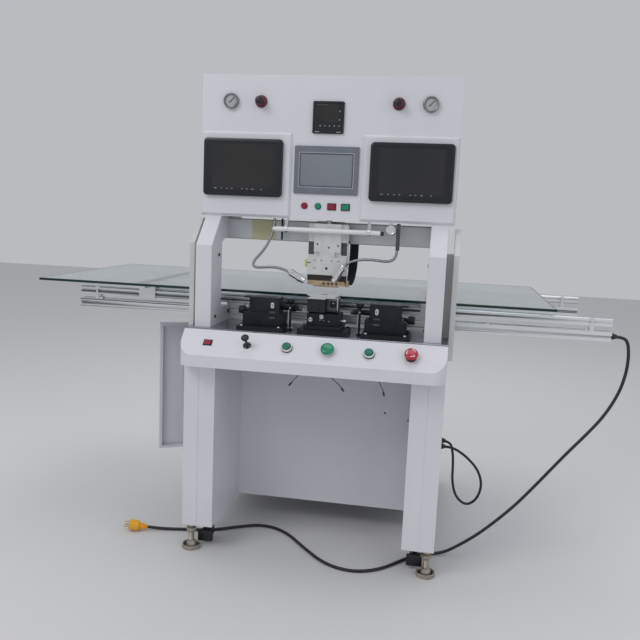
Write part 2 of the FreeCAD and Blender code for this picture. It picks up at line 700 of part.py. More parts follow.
# Head cabinet: a sheet shell open to the front, with vents behind and a cut in its floor
cabinet_shell = block("CabinetOuter", "2 * panelHalf", "cabinetBack - panelFront - sheetWall",
                      "cabinetTop - cabinetBottom", "-panelHalf", "panelFront + sheetWall", "cabinetBottom")
cabinet_cuts = [
    block("CabinetInner", "2 * (panelHalf - sheetWall)", "cabinetBack - panelFront - 2 * sheetWall",
          "cabinetTop - cabinetBottom - 2 * sheetWall", "-panelHalf + sheetWall", "panelFront",
          "cabinetBottom + sheetWall"),
    block("FloorCut", "2 * floorCutHalf", "floorCutBack - panelFront - sheetWall", "3 * sheetWall",
          "headX - floorCutHalf", "panelFront + sheetWall", "cabinetBottom - sheetWall")]
for bank, left in enumerate(("-300", "150")):
    for row in range(6):
        cabinet_cuts.append(block("Vent%d_%d" % (bank, row), "louverWidth", "3 * sheetWall", "louverHigh", left,
                                  "cabinetBack - 2 * sheetWall", "1360 + %d * louverPitch" % row))
node("head_cabinet", cut("HeadCabinet", cabinet_shell, cabinet_cuts))

# Front panel: a sheet with two raised fields for the monitors and an opening for each instrument
panel_cuts = []
pods = []
for side in (-1, 1):
    inner, outer = ("podInner", "panelHalf - 3") if side > 0 else ("-panelHalf + 3", "-podInner")
    pod = prism("Pod%d" % (side + 1), "XZ", rectangle(inner, "cabinetBottom + 3", outer, "podTop"),
                "panelFront - podProud", "podProud")
    soften(pod, "Chamfer", "podBevel",
           lambda edge, middle: near(middle.y, value("panelFront") - value("podProud")))
    pods.append(pod)
    for prefix, centre, radius in (("Gauge", "gaugeX", "gaugeBody"), ("Regulator", "knobX", "knobShaft + 1")):
        panel_cuts.append(rod("%sCut%d" % (prefix, side + 1), radius, "20", "%d * %s" % (side, centre),
                              "panelFront - 10", "gaugeZ", "Y"))
panel_cuts.append(block("TouchCut", "touchWidth - 2 * touchInset", "20", "touchHigh - 2 * touchInset",
                        "-touchWidth / 2 + touchInset", "panelFront - 10", "touchZ - touchHigh / 2 + touchInset"))
panel_cuts.append(block("HeatCut", "heatWidth - 2 * heatInset", "20", "heatWidth - 2 * heatInset",
                        "-heatWidth / 2 + heatInset", "panelFront - 10", "heatZ - heatWidth / 2 + heatInset"))


def button_x(index):
    return "(%d - 1.5) * buttonPitch" % index


for index in range(2):
    panel_cuts.append(rod("RoundCut%d" % index, "roundCap + capGap", "20", button_x(index), "panelFront - 10",
                          "buttonZ", "Y"))
for index in range(2, 4):
    panel_cuts.append(block("RockerCut%d" % index, "rockerWide + 2 * capGap", "20", "rockerHigh + 2 * capGap",
                            button_x(index) + " - rockerWide / 2 - capGap", "panelFront - 10",
                            "buttonZ - rockerHigh / 2 - capGap"))
panel_sheet = block("PanelSheet", "2 * panelHalf", "sheetWall", "cabinetTop - cabinetBottom", "-panelHalf",
                    "panelFront", "cabinetBottom")
node("front_panel", cut("FrontPanel", fuse("PanelBlank", [panel_sheet] + pods), panel_cuts))


# Monitors: rounded cases with a sunk screen, on the raised fields
def monitor(side, title):
    centre = "%d * monitorX" % side
    body = prism(title, "XZ", rectangle(
        centre + " - monitorWidth / 2", "monitorZ - monitorHigh / 2", centre + " + monitorWidth / 2",
        "monitorZ + monitorHigh / 2"), "panelFront - podProud - monitorThick", "monitorThick")
    soften(body, "Fillet", "monitorRound", lambda edge, middle: runs_along(edge, "y"))
    sunk = outline(body, title + "Screen", "XZ", rectangle(
        centre + " - monitorWidth / 2 + screenEdge", "monitorZ - monitorHigh / 2 + screenFoot",
        centre + " + monitorWidth / 2 - screenEdge", "monitorZ + monitorHigh / 2 - screenEdge"),
        "-(panelFront - podProud - monitorThick - 1)")
    pocket = body.newObject("PartDesign::Pocket", title + "Sunk")
    pocket.Profile = sunk
    bind(pocket, "Length", "screenSunk + 1")
    return body


node("monitors", group("Monitors", [monitor(-1, "LeftMonitor"), monitor(1, "RightMonitor")]))

# Touch screen and temperature controller: a bezel on the panel with a case behind it
touch = prism("TouchBezel", "XZ", rectangle("-touchWidth / 2", "touchZ - touchHigh / 2", "touchWidth / 2",
                                            "touchZ + touchHigh / 2"), "panelFront - touchThick", "touchThick")
soften(touch, "Chamfer", "1.5",
       lambda edge, middle: near(middle.y, value("panelFront") - value("touchThick")))
touch_glass = block("TouchGlass", "touchGlassWidth", "screenSunk + 5", "touchGlassHigh", "-touchGlassWidth / 2",
                    "panelFront - touchThick - 5", "touchZ - touchGlassHigh / 2")
touch_case = block("TouchCase", "touchWidth - 2 * touchInset - 1", "touchBody", "touchHigh - 2 * touchInset - 1",
                   "-touchWidth / 2 + touchInset + 0.5", "panelFront",
                   "touchZ - touchHigh / 2 + touchInset + 0.5")
node("touch_screen", cut("TouchScreen", fuse("TouchBlank", [touch, touch_case]), [touch_glass]))

heat = prism("HeatBezel", "XZ", rectangle("-heatWidth / 2", "heatZ - heatWidth / 2", "heatWidth / 2",
                                          "heatZ + heatWidth / 2"), "panelFront - heatThick", "heatThick")
soften(heat, "Fillet", "4", lambda edge, middle: runs_along(edge, "y"))
heat_window = block("HeatWindow", "heatWidth - 14", "screenSunk + 5", "heatWidth * 0.52", "-heatWidth / 2 + 7",
                    "panelFront - heatThick - 5", "heatZ - 8")
heat_case = block("HeatCase", "heatWidth - 2 * heatInset - 1", "heatBody", "heatWidth - 2 * heatInset - 1",
                  "-heatWidth / 2 + heatInset + 0.5", "panelFront", "heatZ - heatWidth / 2 + heatInset + 0.5")
node("temperature_controller", cut("HeatControl", fuse("HeatBlank", [heat, heat_case]), [heat_window]))

# Pressure gauges: turned cases with a sunk dial, and a needle whose shaft runs in the dial
gauge_parts = []
for side in (-1, 1):
    case = turned("GaugeCase%d" % (side + 1), [
        ("needlePin + runningGap", "-25"), ("gaugeBody - 0.5", "-25"), ("gaugeBody - 0.5", "0"),
        ("gaugeRadius", "0"), ("gaugeRadius", "gaugeProud - 2"), ("gaugeRadius - 2", "gaugeProud"),
        ("gaugeRadius - 4", "gaugeProud"), ("gaugeRadius - 5", "gaugeProud - gaugeDial"),
        ("needlePin + runningGap", "gaugeProud - gaugeDial")])
    case.Placement = FreeCAD.Placement(vector(0, 0, 0), TURNS["-Y"])
    gauge_parts.append(place(case, "%d * gaugeX" % side, "panelFront", "gaugeZ"))
node("pressure_gauges", group("Gauges", gauge_parts))

dial_front = "panelFront - gaugeProud + gaugeDial"
for side, title in ((-1, "left"), (1, "right")):
    centre = "%d * gaugeX" % side
    shaft = rod(title + "NeedleShaft", "needlePin", "8", centre, dial_front + " - 2", "gaugeZ", "Y")
    hub = rod(title + "NeedleHub", "2.5", "1.6", centre, dial_front + " - 2.2", "gaugeZ", "Y")
    blade = prism(title + "NeedleBlade", "XZ", [
        ("-1.1", "-5"), ("1.1", "-5"), ("0.5", "needleLong"), ("-0.5", "needleLong")], "0", "0.8")
    blade.Placement = FreeCAD.Placement(vector(0, 0, 0), FreeCAD.Rotation(vector(0, 1, 0), 45))
    place(blade, centre, dial_front + " - 1.8", "gaugeZ")
    node(title + "_gauge_needle", fuse(title + "Needle", [shaft, hub, blade]))

# Regulator knobs: a lock ring, a neck and a fluted cap on a shaft through the panel
for side, title in ((-1, "left"), (1, "right")):
    knob = turned(title + "Knob", [
        ("0", "-14"), ("knobShaft", "-14"), ("knobShaft", "collarThick + 0.3"),
        ("knobRing - 1", "collarThick + 0.3"), ("knobRing", "collarThick + 1.3"), ("knobRing", "10"),
        ("knobRing - 2", "12"), ("knobCap - 2", "14"), ("knobCap", "16"), ("knobCap", "knobLong - 2"),
        ("knobCap - 2", "knobLong"), ("0", "knobLong")])
    flute_sketch = outline(knob, title + "Flute", "XY", [], "15", [("knobCap + 0.6", "0", "1.5")])
    flute = knob.newObject("PartDesign::Pocket", title + "FluteCut")
    flute.Profile = flute_sketch
    flute.Reversed = True
    bind(flute, "Length", "knobLong")
    doc.recompute()
    ring = knob.newObject("PartDesign::PolarPattern", title + "Flutes")
    ring.Originals = [flute]
    ring.Axis = (flute_sketch, ["N_Axis"])
    ring.Angle = 360
    bind(ring, "Occurrences", "knobFlutes")
    knob.Tip = ring
    node(title + "_regulator_knob", knob, "%d * knobX" % side, "panelFront", "gaugeZ", "90")


# Controls, each modelled on a flat floor and then seated on the panel or the console's slope
def ring_of(name, outer, inner, thick):
    return turned(name, [(inner, "0"), (outer, "0"), (outer, thick + " - 0.8"), (outer + " - 0.8", thick),
                         (inner, thick)])


def rocker_frame(name):
    frame = block(name + "Frame", "rockerWide + 2 * rockerFrame + 2 * capGap",
                  "rockerHigh + 2 * rockerFrame + 2 * capGap", "bezelThick",
                  "-rockerWide / 2 - rockerFrame - capGap", "-rockerHigh / 2 - rockerFrame - capGap", "0")
    opening = block(name + "Opening", "rockerWide + 2 * capGap", "rockerHigh + 2 * capGap", "3 * bezelThick",
                    "-rockerWide / 2 - capGap", "-rockerHigh / 2 - capGap", "-bezelThick")
    return cut(name + "Bezel", frame, [opening])


def rocker(name):
    """A rocker cap with two facets that meet over its pivot; it tips about its own y axis."""
    return prism(name, "XZ", [
        ("-rockerWide / 2 + 0.6", "-4"), ("0", "-7"), ("rockerWide / 2 - 0.6", "-4"),
        ("rockerWide / 2 - 0.2", "bezelThick + rockerProud - 1.6"), ("0", "bezelThick + 1.2"),
        ("-rockerWide / 2 + 0.2", "bezelThick + rockerProud - 1.6")], "-rockerHigh / 2", "rockerHigh")


def push_cap(name, radius, high, crown):
    return turned(name, [("0", "-12"), (radius, "-12"), (radius, high + " - 1"), (radius + " - 1", high),
                         ("0", high + " + " + crown)])


def mushroom(name, high):
    return turned(name, [
        ("0", "-14"), ("mushroomNeck", "-14"), ("mushroomNeck", high + " - 11"),
        ("mushroomRadius - 1", high + " - 11"), ("mushroomRadius", high + " - 9.5"),
        ("mushroomRadius", high + " - 5"), ("mushroomRadius - 2", high + " - 2"),
        ("mushroomRadius * 0.6", high), ("0", high + " + 0.6")])


bezels = []
for side in (-1, 1):
    collar = ring_of("Collar%d" % (side + 1), "collarRadius", "knobShaft + 1", "collarThick")
    collar.Placement = FreeCAD.Placement(vector(0, 0, 0), TURNS["-Y"])
    bezels.append(place(collar, "%d * knobX" % side, "panelFront", "gaugeZ"))
for index in range(2):
    rim = ring_of("RoundRim%d" % index, "roundBezel", "roundCap + capGap", "bezelThick")
    rim.Placement = FreeCAD.Placement(vector(0, 0, 0), TURNS["-Y"])
    bezels.append(place(rim, button_x(index), "panelFront", "buttonZ"))
for index in range(2, 4):
    frame = group("PanelFrame%d" % index, [rocker_frame("PanelRocker%d" % index)])
    frame.Placement = FreeCAD.Placement(vector(0, 0, 0), TURNS["-Y"])
    bezels.append(place(frame, button_x(index), "panelFront", "buttonZ"))
bezels.append(on_slope(group("ConsoleFrame", [rocker_frame("ConsoleRocker")]), 0))
bezels.append(on_slope(ring_of("StickRing", "bootRadius + 6.5", "bootRadius + 3", "2"), 1))
stick_house = turned("StickHouse", rectangle(
    "bootRadius + 3", "-gimbalDeep - 6", "bootRadius + 8", "-sheetWall"))
bezels.append(on_slope(cut("StickHousing", stick_house, [
    rod("StickBores", "trunnionRadius + runningGap", "40", "-20", "0", "-gimbalDeep", "X")]), 1))
bezels.append(on_slope(ring_of("GreenRimA", "greenBezel", "greenCap + capGap", "bezelThick + 3"), 2))
bezels.append(on_slope(ring_of("MushroomRim", "mushroomNeck + 4", "mushroomNeck + capGap", "bezelThick"), 3))
bezels.append(on_slope(ring_of("GreenRimB", "greenBezel", "greenCap + capGap", "bezelThick + 3"), 4))
bezels.append(on_slope(ring_of("StopRim", "mushroomNeck + 5", "mushroomNeck + capGap", "bezelThick + 2"), 5))
node("control_bezels", group("Bezels", bezels))

for index, title in enumerate(("red_push_button", "green_push_button")):
    cap = push_cap("PanelCap%d" % index, "roundCap", "bezelThick + 3", "0.5")
    node(title, cap, button_x(index), "panelFront", "buttonZ", "90")
for index, title in ((2, "red_rocker"), (3, "green_rocker")):
    node(title, rocker("PanelTip%d" % index), button_x(index), "panelFront", "buttonZ", "90")


def console_node(label, item, index):
    return node(label, item, control_x(index), control_row_y, control_row_z, slope_angle)


console_node("console_rocker", rocker("ConsoleTip"), 0)
gimbal_blank = fuse("GimbalBlank", [
    rod("GimbalDisc", "bootRadius", "6", "0", "0", "-gimbalDeep - 3"),
    rod("GimbalTrunnions", "trunnionRadius", "2 * bootRadius + 12", "-bootRadius - 6", "0", "-gimbalDeep", "X")])
gimbal = cut("Gimbal", gimbal_blank, [
    rod("GimbalBore", "stickRadius + 1", "20", "0", "0", "-gimbalDeep - 10"),
    rod("GimbalPinBore", "stickPin + runningGap", "2 * bootRadius + 4", "0", "-bootRadius - 2", "-gimbalDeep", "Y")])
console_node("joystick_gimbal", gimbal, 1)
stick = turned("Joystick", [
    ("0", "bootLow"), ("bootRadius - 1.3", "bootLow"), ("bootRadius - 1", "3"), ("bootRadius - 3", "8"), ("stickRadius", "13"),
    ("stickRadius", "stickHigh - ballRadius + 1"), ("ballRadius * 0.7", "stickHigh - ballRadius * 0.71"),
    ("ballRadius * 0.95", "stickHigh - ballRadius * 0.31"), ("ballRadius", "stickHigh"),
    ("ballRadius * 0.9", "stickHigh + ballRadius * 0.44"), ("ballRadius * 0.6", "stickHigh + ballRadius * 0.8"),
    ("0", "stickHigh + ballRadius")])
stick_pin = rod("StickPin", "stickPin", "2 * bootRadius - 3", "0", "1.5 - bootRadius", "-gimbalDeep", "Y")
console_node("joystick", stick, 1)
stick_stem = turned("StickStem", [
    ("0", "-gimbalDeep - 8"), ("stickRadius", "-gimbalDeep - 8"), ("stickRadius", "-2"),
    ("bootRadius - 2", "0"), ("bootRadius - 1.3", "bootLow"), ("0", "bootLow")])
console_node("joystick_stem", fuse("StemSolid", [stick_stem, stick_pin]), 1)
console_node("left_start_button", push_cap("GreenCapA", "greenCap", "bezelThick + 5.5", "0.8"), 2)
console_node("mushroom_button", mushroom("MushroomCap", "mushroomHigh - 4"), 3)
console_node("right_start_button", push_cap("GreenCapB", "greenCap", "bezelThick + 5.5", "0.8"), 4)
console_node("emergency_stop", mushroom("StopCap", "mushroomHigh"), 5)

# Cross beam between the posts' arms, carrying the head's guide
beam_outer = rectangle("beamFront", "armBottom", "beamFront + beamDeep", "armBottom + beamHigh")
beam = prism("BeamTube", "YZ", beam_outer, "-postInner", "2 * postInner")
soften(beam, "Fillet", "4", lambda edge, middle: runs_along(edge, "x"))
beam_bore = block("BeamBore", "2 * postInner + 20", "beamDeep - 2 * beamWall", "beamHigh - 2 * beamWall",
                  "-postInner - 10", "beamFront + beamWall", "armBottom + beamWall")
node("cross_beam", cut("CrossBeam", beam, [beam_bore]))

# Work lamp: a tube with two caps, hung by clips from the cabinet floor
lamp_parts = [rod("LampTube", "lampRadius", "lampRight - lampLeft", "lampLeft", "lampY", "lampZ", "X")]
for index, (start, axis) in enumerate((("lampLeft", "-X"), ("lampRight", "X"))):
    lamp_parts.append(cone("LampCap%d" % index, "lampRadius + 1.5", "lampRadius - 1", "lampCap", start,
                           "lampY", "lampZ", axis))
for index, side in enumerate((-1, 1)):
    clip_x = "headX + %d * clipX - clipWide / 2" % side
    collar = rod("LampCollar%d" % index, "lampRadius + 2", "clipWide", clip_x, "lampY", "lampZ", "X")
    hanger = block("LampHanger%d" % index, "clipWide", "12", "cabinetBottom - lampZ", clip_x, "lampY - 3", "lampZ")
    lamp_parts += [collar, hanger]
node("work_lamp", fuse("WorkLamp", lamp_parts))

# Head guide: plate and linear rail on the beam, with the press cylinder above the cabinet's floor
guide_y = "beamFront - frontPlate"
rail_y = guide_y + " - railThick"
guide = block("GuidePlate", "2 * guideHalf", "frontPlate", "cabinetBottom - guideBottom - 4",
              "headX - guideHalf", guide_y, "guideBottom")
head_rail = block("HeadRail", "railWide", "railThick", "cabinetBottom - guideBottom - 4",
                  "headX - railWide / 2", rail_y, "guideBottom")
cylinder_y = "headFront + frontPlate + backPlate / 2"
cylinder_body = block("CylinderBody", "cylinderSide", "cylinderSide", "cylinderLong",
                      "headX - cylinderSide / 2", cylinder_y + " - cylinderSide / 2", "cabinetBottom + 12")
cylinder_bore = rod("CylinderBore", "pistonRadius + runningGap", "40", "headX", cylinder_y, "cabinetBottom")
cylinder_foot = block("CylinderFoot", "2 * floorCutHalf + 40", "70", "12 - sheetWall",
                      "headX - floorCutHalf - 20", "panelFront + sheetWall", "cabinetBottom + sheetWall")
press = cut("PressCylinder", fuse("CylinderBlank", [cylinder_body, cylinder_foot]), [cylinder_bore])
node("head_guide", group("HeadGuide", [fuse("GuideRail", [guide, head_rail]), press]))

# Head slide: the moving plate, its block on the rail, the shaped front plate and the piston rod
moving = block("MovingPlate", "2 * headHalf", "backPlate", "headTop - headBottom", "headX - headHalf",
               "headFront + frontPlate", "headBottom")
front = prism("HeadFront", "XZ", [
    ("headX - headHalf", "headBottom"), ("headX + headHalf", "headBottom"), ("headX + headHalf", "headMiddle"),
    ("headX + columnHalf", "headMiddle"), ("headX + columnHalf", "earBottom"), ("headX + earHalf", "earBottom"),
    ("headX + earHalf", "headTop"), ("headX - earHalf", "headTop"), ("headX - earHalf", "earBottom"),
    ("headX - columnHalf", "earBottom"), ("headX - columnHalf", "headMiddle"),
    ("headX - headHalf", "headMiddle")], "headFront", "frontPlate", [
    ("headX - 38", "headMiddle - 12", "screwRadius"), ("headX - 17", "headMiddle - 12", "screwRadius"),
    ("headX + 15", "headMiddle - 12", "screwRadius"), ("headX + 36", "headMiddle - 12", "screwRadius"),
    ("headX - 38", "headMiddle - 36", "screwRadius"), ("headX + 36", "headMiddle - 36", "screwRadius"),
    ("headX", "headMiddle - 36", "dowelRadius"), ("headX + 5", "earBottom + 14", "dowelRadius * 0.7"),
    ("headX - 32", "earBottom + 24", "dowelRadius * 0.7"), ("headX + 34", "earBottom + 21", "dowelRadius * 0.7")])
lip = block("HeadLip", "2 * headHalf", "headLipProud", "headLip", "headX - headHalf",
            "headFront - headLipProud", "headBottom")
slide_block = block("SlideBlock", "2 * blockHalf", "beamFront - frontPlate - headFront - frontPlate - backPlate - 2",
                    "blockHigh", "headX - blockHalf", "headFront + frontPlate + backPlate",
                    "headTop - blockHigh - 10")
channel = block("SlideChannel", "railWide + 2 * slideGap", "40", "blockHigh + 20",
                "headX - railWide / 2 - slideGap", rail_y + " - slideGap", "headTop - blockHigh - 20")
piston = rod("Piston", "pistonRadius", "45", "headX", cylinder_y, "headTop - 5")
slide_solid = fuse("SlideSolid", [moving, front, lip, cut("SlideRunner", slide_block, [channel]), piston])
node("head_slide", slide_solid)

# Insulating block and heater block with its cartridge holes and bonding blade
insulator = block("Insulator", "2 * headHalf - 4", "headDeep", "insulatorHigh", "headX - headHalf + 2",
                  "headFront", "headBottom - insulatorHigh")
node("insulator_block", group("InsulatorBlock", [insulator]))
heater_top = "headBottom - insulatorHigh"
hole_row = [("headX + (%d - 1.5) * heaterHolePitch" % i, heater_top + " - heaterHigh * 0.6",
             "heaterHoleRadius") for i in range(4)]
heater = prism("HeaterBody", "XZ", rectangle(
    "headX - heaterHalf", heater_top + " - heaterHigh", "headX + heaterHalf", heater_top),
    "headFront - 2", "headDeep", hole_row)
blade = prism("BondingBlade", "YZ", [
    ("headFront + 2", heater_top + " - heaterHigh"), ("headFront + 12", heater_top + " - heaterHigh"),
    ("headFront + 4.5 + bladeThick / 2", heater_top + " - heaterHigh - bladeHigh"),
    ("headFront + 4.5 - bladeThick / 2", heater_top + " - heaterHigh - bladeHigh")],
    "headX - bladeHalf", "2 * bladeHalf")
terminal = rod("HeaterTerminal", "6", "20", "headX + heaterHalf + 8", "headFront + 12",
               heater_top + " - heaterHigh - 3")
terminal_tab = block("TerminalTab", "10", "8", "8", "headX + heaterHalf - 2", "headFront + 8",
                     heater_top + " - heaterHigh + 2")
node("heater_block", fuse("HeaterBlock", [heater, blade, terminal, terminal_tab]))


# Flat cable: a strap that hangs behind the beam and comes forward to the heater's right end
def strap(name, points, wide, thick, left):
    """A flat strap through points of its middle line in the y and z directions."""
    upper = []
    lower = []
    count = len(points)
    for i, (y, z) in enumerate(points):
        before = points[max(i - 1, 0)]
        after = points[min(i + 1, count - 1)]
        length = math.hypot(after[0] - before[0], after[1] - before[1])
        off_y = -(after[1] - before[1]) / length * thick / 2
        off_z = (after[0] - before[0]) / length * thick / 2
        upper.append(vector(left, y + off_y, z + off_z))
        lower.append(vector(left, y - off_y, z - off_z))
    sides = []
    for line in (upper, lower[::-1]):
        curve = Part.BSplineCurve()
        curve.interpolate(line)
        sides.append(curve.toShape())
    sides.insert(1, Part.LineSegment(upper[-1], lower[-1]).toShape())
    sides.append(Part.LineSegment(lower[0], upper[0]).toShape())
    item = doc.addObject("Part::Feature", name)
    item.Shape = Part.Face(Part.Wire(sides)).extrude(vector(wide, 0, 0))
    return item


strap_top = value("cabinetBottom") - 22
strap_back = value("beamFront") + value("beamDeep") + 8
ribbon = strap("Ribbon", [
    (strap_back, strap_top), (strap_back + 2, 1010), (strap_back - 1, 960), (strap_back - 16, 920),
    (strap_back - 50, 896), (value("headFront") + 24, 884)],
    60, value("cableThick"), value("headX") + value("heaterHalf"))
drape = prism("Drape", "XZ", [
    ("headX + 76", "cabinetBottom"), ("headX + 76", "960"), ("headX + 72", "925"), ("headX + 58", "895"),
    ("headX + 58", "870"), ("headX + 82", "870"), ("headX + 100", "925"), ("headX + 76 + cableWide", "970"),
    ("headX + 76 + cableWide", "cabinetBottom")], "headFront", "200")
head_cable = doc.addObject("Part::Common", "HeadCable")
head_cable.Base = ribbon
head_cable.Tool = drape
node("head_cable", head_cable)


# Lamp necks: bent tubes from the cabinet floor, each ending in a spot lamp
def spot_lamp(title, points, tip):
    neck = cord(title + "Neck", points, value("neckRadius"))
    end = vector(*points[-1])
    way = (vector(*tip) - end).normalize()
    radius = value("spotRadius")
    long = value("spotLong")
    barrel = Part.makeCylinder(radius, long * 0.62, end - way * 3, way)
    nose = Part.makeCone(radius, radius * 0.72, long * 0.38, end - way * 3 + way * long * 0.62, way)
    tail = Part.makeCone(value("neckRadius") + 1.5, radius, 8, end - way * 9, way)
    item = doc.addObject("Part::Feature", title)
    item.Shape = neck.Shape.fuse([barrel, nose, tail]).removeSplitter()
    doc.removeObject(neck.Name)
    return item


floor = value("cabinetBottom")
node("left_gooseneck", spot_lamp("LeftGooseneck", [
    (-160, 104, floor), (-160, 104, 1062), (-165, 102, 1036), (-178, 98, 1000), (-198, 94, 965),
    (-216, 90, 938), (-207, 87, 923), (-184, 86, 925), (-150, 85, 928), (-112, 84, 917)], (-48, 84, 886)))
node("right_gooseneck", spot_lamp("RightGooseneck", [
    (231, 108, floor), (231, 108, 1060), (231, 106, 1024), (230, 104, 992), (225, 98, 970),
    (204, 92, 962), (168, 86, 967), (128, 80, 966), (98, 77, 958), (79, 78, 940)], (44, 80, 886)))

# Rails: grooved guide rails over slotted beams, front and rear
tracks = []
girders = []
for index, rail_centre in enumerate(("frontRailY", "rearRailY")):
    low = rail_centre + " - trackWide / 2"
    high = rail_centre + " + trackWide / 2"
    base = "trackTop - trackHigh"
    tracks.append(prism("Track%d" % index, "YZ", [
        (low, base), (high, base), (high, base + " + 8"), (high + " - trackGroove", base + " + 11"),
        (high + " - trackGroove", base + " + 13"), (high, base + " + 16"), (high, "trackTop - 3"),
        (high + " - 3", "trackTop"), (low + " + 3", "trackTop"), (low, "trackTop - 3"), (low, base + " + 16"),
        (low + " + trackGroove", base + " + 13"), (low + " + trackGroove", base + " + 11"), (low, base + " + 8")],
        "railLeft", "railLength"))
    low = rail_centre + " - girderWide / 2"
    high = rail_centre + " + girderWide / 2"
    middle = "girderBottom + girderHigh / 2"
    top = "girderBottom + girderHigh"
    girders.append(prism("Girder%d" % index, "YZ", [
        (low, "girderBottom"), (rail_centre + " - slotOpen / 2", "girderBottom"),
        (rail_centre + " - slotOpen / 2", "girderBottom + slotDeep"),
        (rail_centre + " + slotOpen / 2", "girderBottom + slotDeep"),
        (rail_centre + " + slotOpen / 2", "girderBottom"), (high, "girderBottom"),
        (high, middle + " - slotOpen / 2"), (high + " - slotDeep", middle + " - slotOpen / 2"),
        (high + " - slotDeep", middle + " + slotOpen / 2"), (high, middle + " + slotOpen / 2"), (high, top),
        (low, top), (low, middle + " + slotOpen / 2"), (low + " + slotDeep", middle + " + slotOpen / 2"),
        (low + " + slotDeep", middle + " - slotOpen / 2"), (low, middle + " - slotOpen / 2")],
        "railLeft", "railLength"))
node("guide_rails", group("GuideRails", tracks))
node("rail_beams", group("RailBeams", girders))

# Rail fittings: deck blocks, spacers, flared end stops and clamp screws
fittings = []
for index, rail_centre in enumerate(("frontRailY", "rearRailY")):
    for place_x in ("supportHalf", "-supportHalf"):
        tag = "%d%s" % (index, "R" if place_x == "supportHalf" else "L")
        fittings.append(block("DeckBlock" + tag, "supportWide", "girderWide", "girderBottom - deckTop",
                              place_x + " - supportWide / 2", rail_centre + " - girderWide / 2", "deckTop"))
        fittings.append(block("Spacer" + tag, "supportWide", "trackWide - 6",
                              "trackTop - trackHigh - girderBottom - girderHigh",
                              place_x + " - supportWide / 2", rail_centre + " - trackWide / 2 + 3",
                              "girderBottom + girderHigh"))
    for end, centre_x in (("L", "railLeft + stopInset"), ("R", "railLeft + railLength - stopInset")):
        tag = "%d%s" % (index, end)
        web = prism("StopWeb" + tag, "XZ", [
            (centre_x + " - stopWide / 2", "girderBottom + girderHigh"),
            (centre_x + " + stopWide / 2", "girderBottom + girderHigh"),
            (centre_x + " + stopWide / 4", "girderBottom + girderHigh + 8"),
            (centre_x + " + stopWide / 4", "trackTop - 9"), (centre_x + " + stopWide / 2", "trackTop + 1"),
            (centre_x + " - stopWide / 2", "trackTop + 1"), (centre_x + " - stopWide / 4", "trackTop - 9"),
            (centre_x + " - stopWide / 4", "girderBottom + girderHigh + 8")],
            rail_centre + " - trackWide / 2 - 5", "5")
        foot = block("StopFoot" + tag, "stopWide", "trackWide - 6",
                     "trackTop - trackHigh - girderBottom - girderHigh", centre_x + " - stopWide / 2",
                     rail_centre + " - trackWide / 2 + 3", "girderBottom + girderHigh")
        tie = block("StopTie" + tag, "stopWide", "4", "trackTop - trackHigh - girderBottom - girderHigh",
                    centre_x + " - stopWide / 2", rail_centre + " - trackWide / 2 - 0.5",
                    "girderBottom + girderHigh")
        fittings.append(fuse("Stop" + tag, [web, foot, tie]))
for index, screw_x in enumerate(("-787", "524", "824")):
    fittings.append(rod("ClampScrew%d" % index, "screwKnob", "24", screw_x, "frontRailY - trackWide / 2 - 17",
                        "girderBottom + girderHigh + screwKnob", "Y"))
node("rail_brackets", group("RailBrackets", fittings))

# Carriages astride the rails, tied in pairs by bars that carry the glass
carriage_parts = []
for column in range(2):
    centre_x = "carriageLeft + %d * carriagePitch" % column
    pieces = [block("CrossBar%d" % column, "crossBarWide", "glassDeep - 2 * crossBarInset",
                    "glassTop - glassThick - carriageTop", centre_x + " - crossBarWide / 2",
                    "glassFront + crossBarInset", "carriageTop")]
    for index, rail_centre in enumerate(("frontRailY", "rearRailY")):
        low = rail_centre + " - trackWide / 2 - slideGap"
        high = rail_centre + " + trackWide / 2 + slideGap"
        pieces.append(prism("Carriage%d%d" % (column, index), "YZ", [
            (low + " - carriageCheek", "carriageDrop"), (low, "carriageDrop"), (low, "trackTop + slideGap"),
            (high, "trackTop + slideGap"), (high, "carriageDrop"), (high + " + carriageCheek", "carriageDrop"),
            (high + " + carriageCheek", "carriageTop"), (low + " - carriageCheek", "carriageTop")],
            centre_x + " - carriageWide / 2", "carriageWide"))
    carriage_parts.append(fuse("CarriagePair%d" % column, pieces))
node("carriages", group("Carriages", carriage_parts))

# Glass platform with ground edges and small round corners
glass = prism("GlassPlate", "XY", rectangle(
    "glassLeft", "glassFront", "glassLeft + glassLength", "glassFront + glassDeep"),
    "glassTop - glassThick", "glassThick")
soften(glass, "Fillet", "glassCorner", lambda edge, middle: runs_along(edge, "z"))
soften(glass, "Chamfer", "glassEdge", lambda edge, middle: near(middle.z, value("glassTop"))
       or near(middle.z, value("glassTop") - value("glassThick")))
node("glass_platform", glass)

# Fixed bases on the deck: the support's body and the two camera stages' plates with their slides
plate_top = "deckTop + stagePlate"
body_left = "stageX - supportBodyHalf"
support_fixed = fuse("SupportBase", [
    block("SupportPlate", "2 * supportBodyHalf + 50", "112", "stagePlate", body_left + " - 25", "-17", "deckTop"),
    block("SupportFlare", "2 * supportBodyHalf + 16", "92", "12", body_left + " - 8", "0", plate_top),
    block("SupportBody", "2 * supportBodyHalf", "80", "supportBodyTop - deckTop - stagePlate - 12",
          body_left, "8", plate_top + " + 12"),
    rod("SupportScrewA", "7", "10", "stageX - 37.5", "-2", "782", "Y"),
    rod("SupportScrewB", "7", "10", "stageX - 3.5", "-2", "792", "Y"),
    rod("SupportSpindle", "3.5", "19", "stageX + supportBodyHalf - 3", "40", "776", "X"),
    rod("SupportThimble", "5.5", "7", "stageX + supportBodyHalf + 9", "40", "776", "X")])
pin_bores = [rod("PinBore%d" % (side + 1), "pinGuide + runningGap", "40", "headX + %d * pinSpread" % side, "48",
                 "supportBodyTop - 22") for side in (-1, 1)]
base_parts = [cut("SupportFixed", support_fixed, pin_bores)]
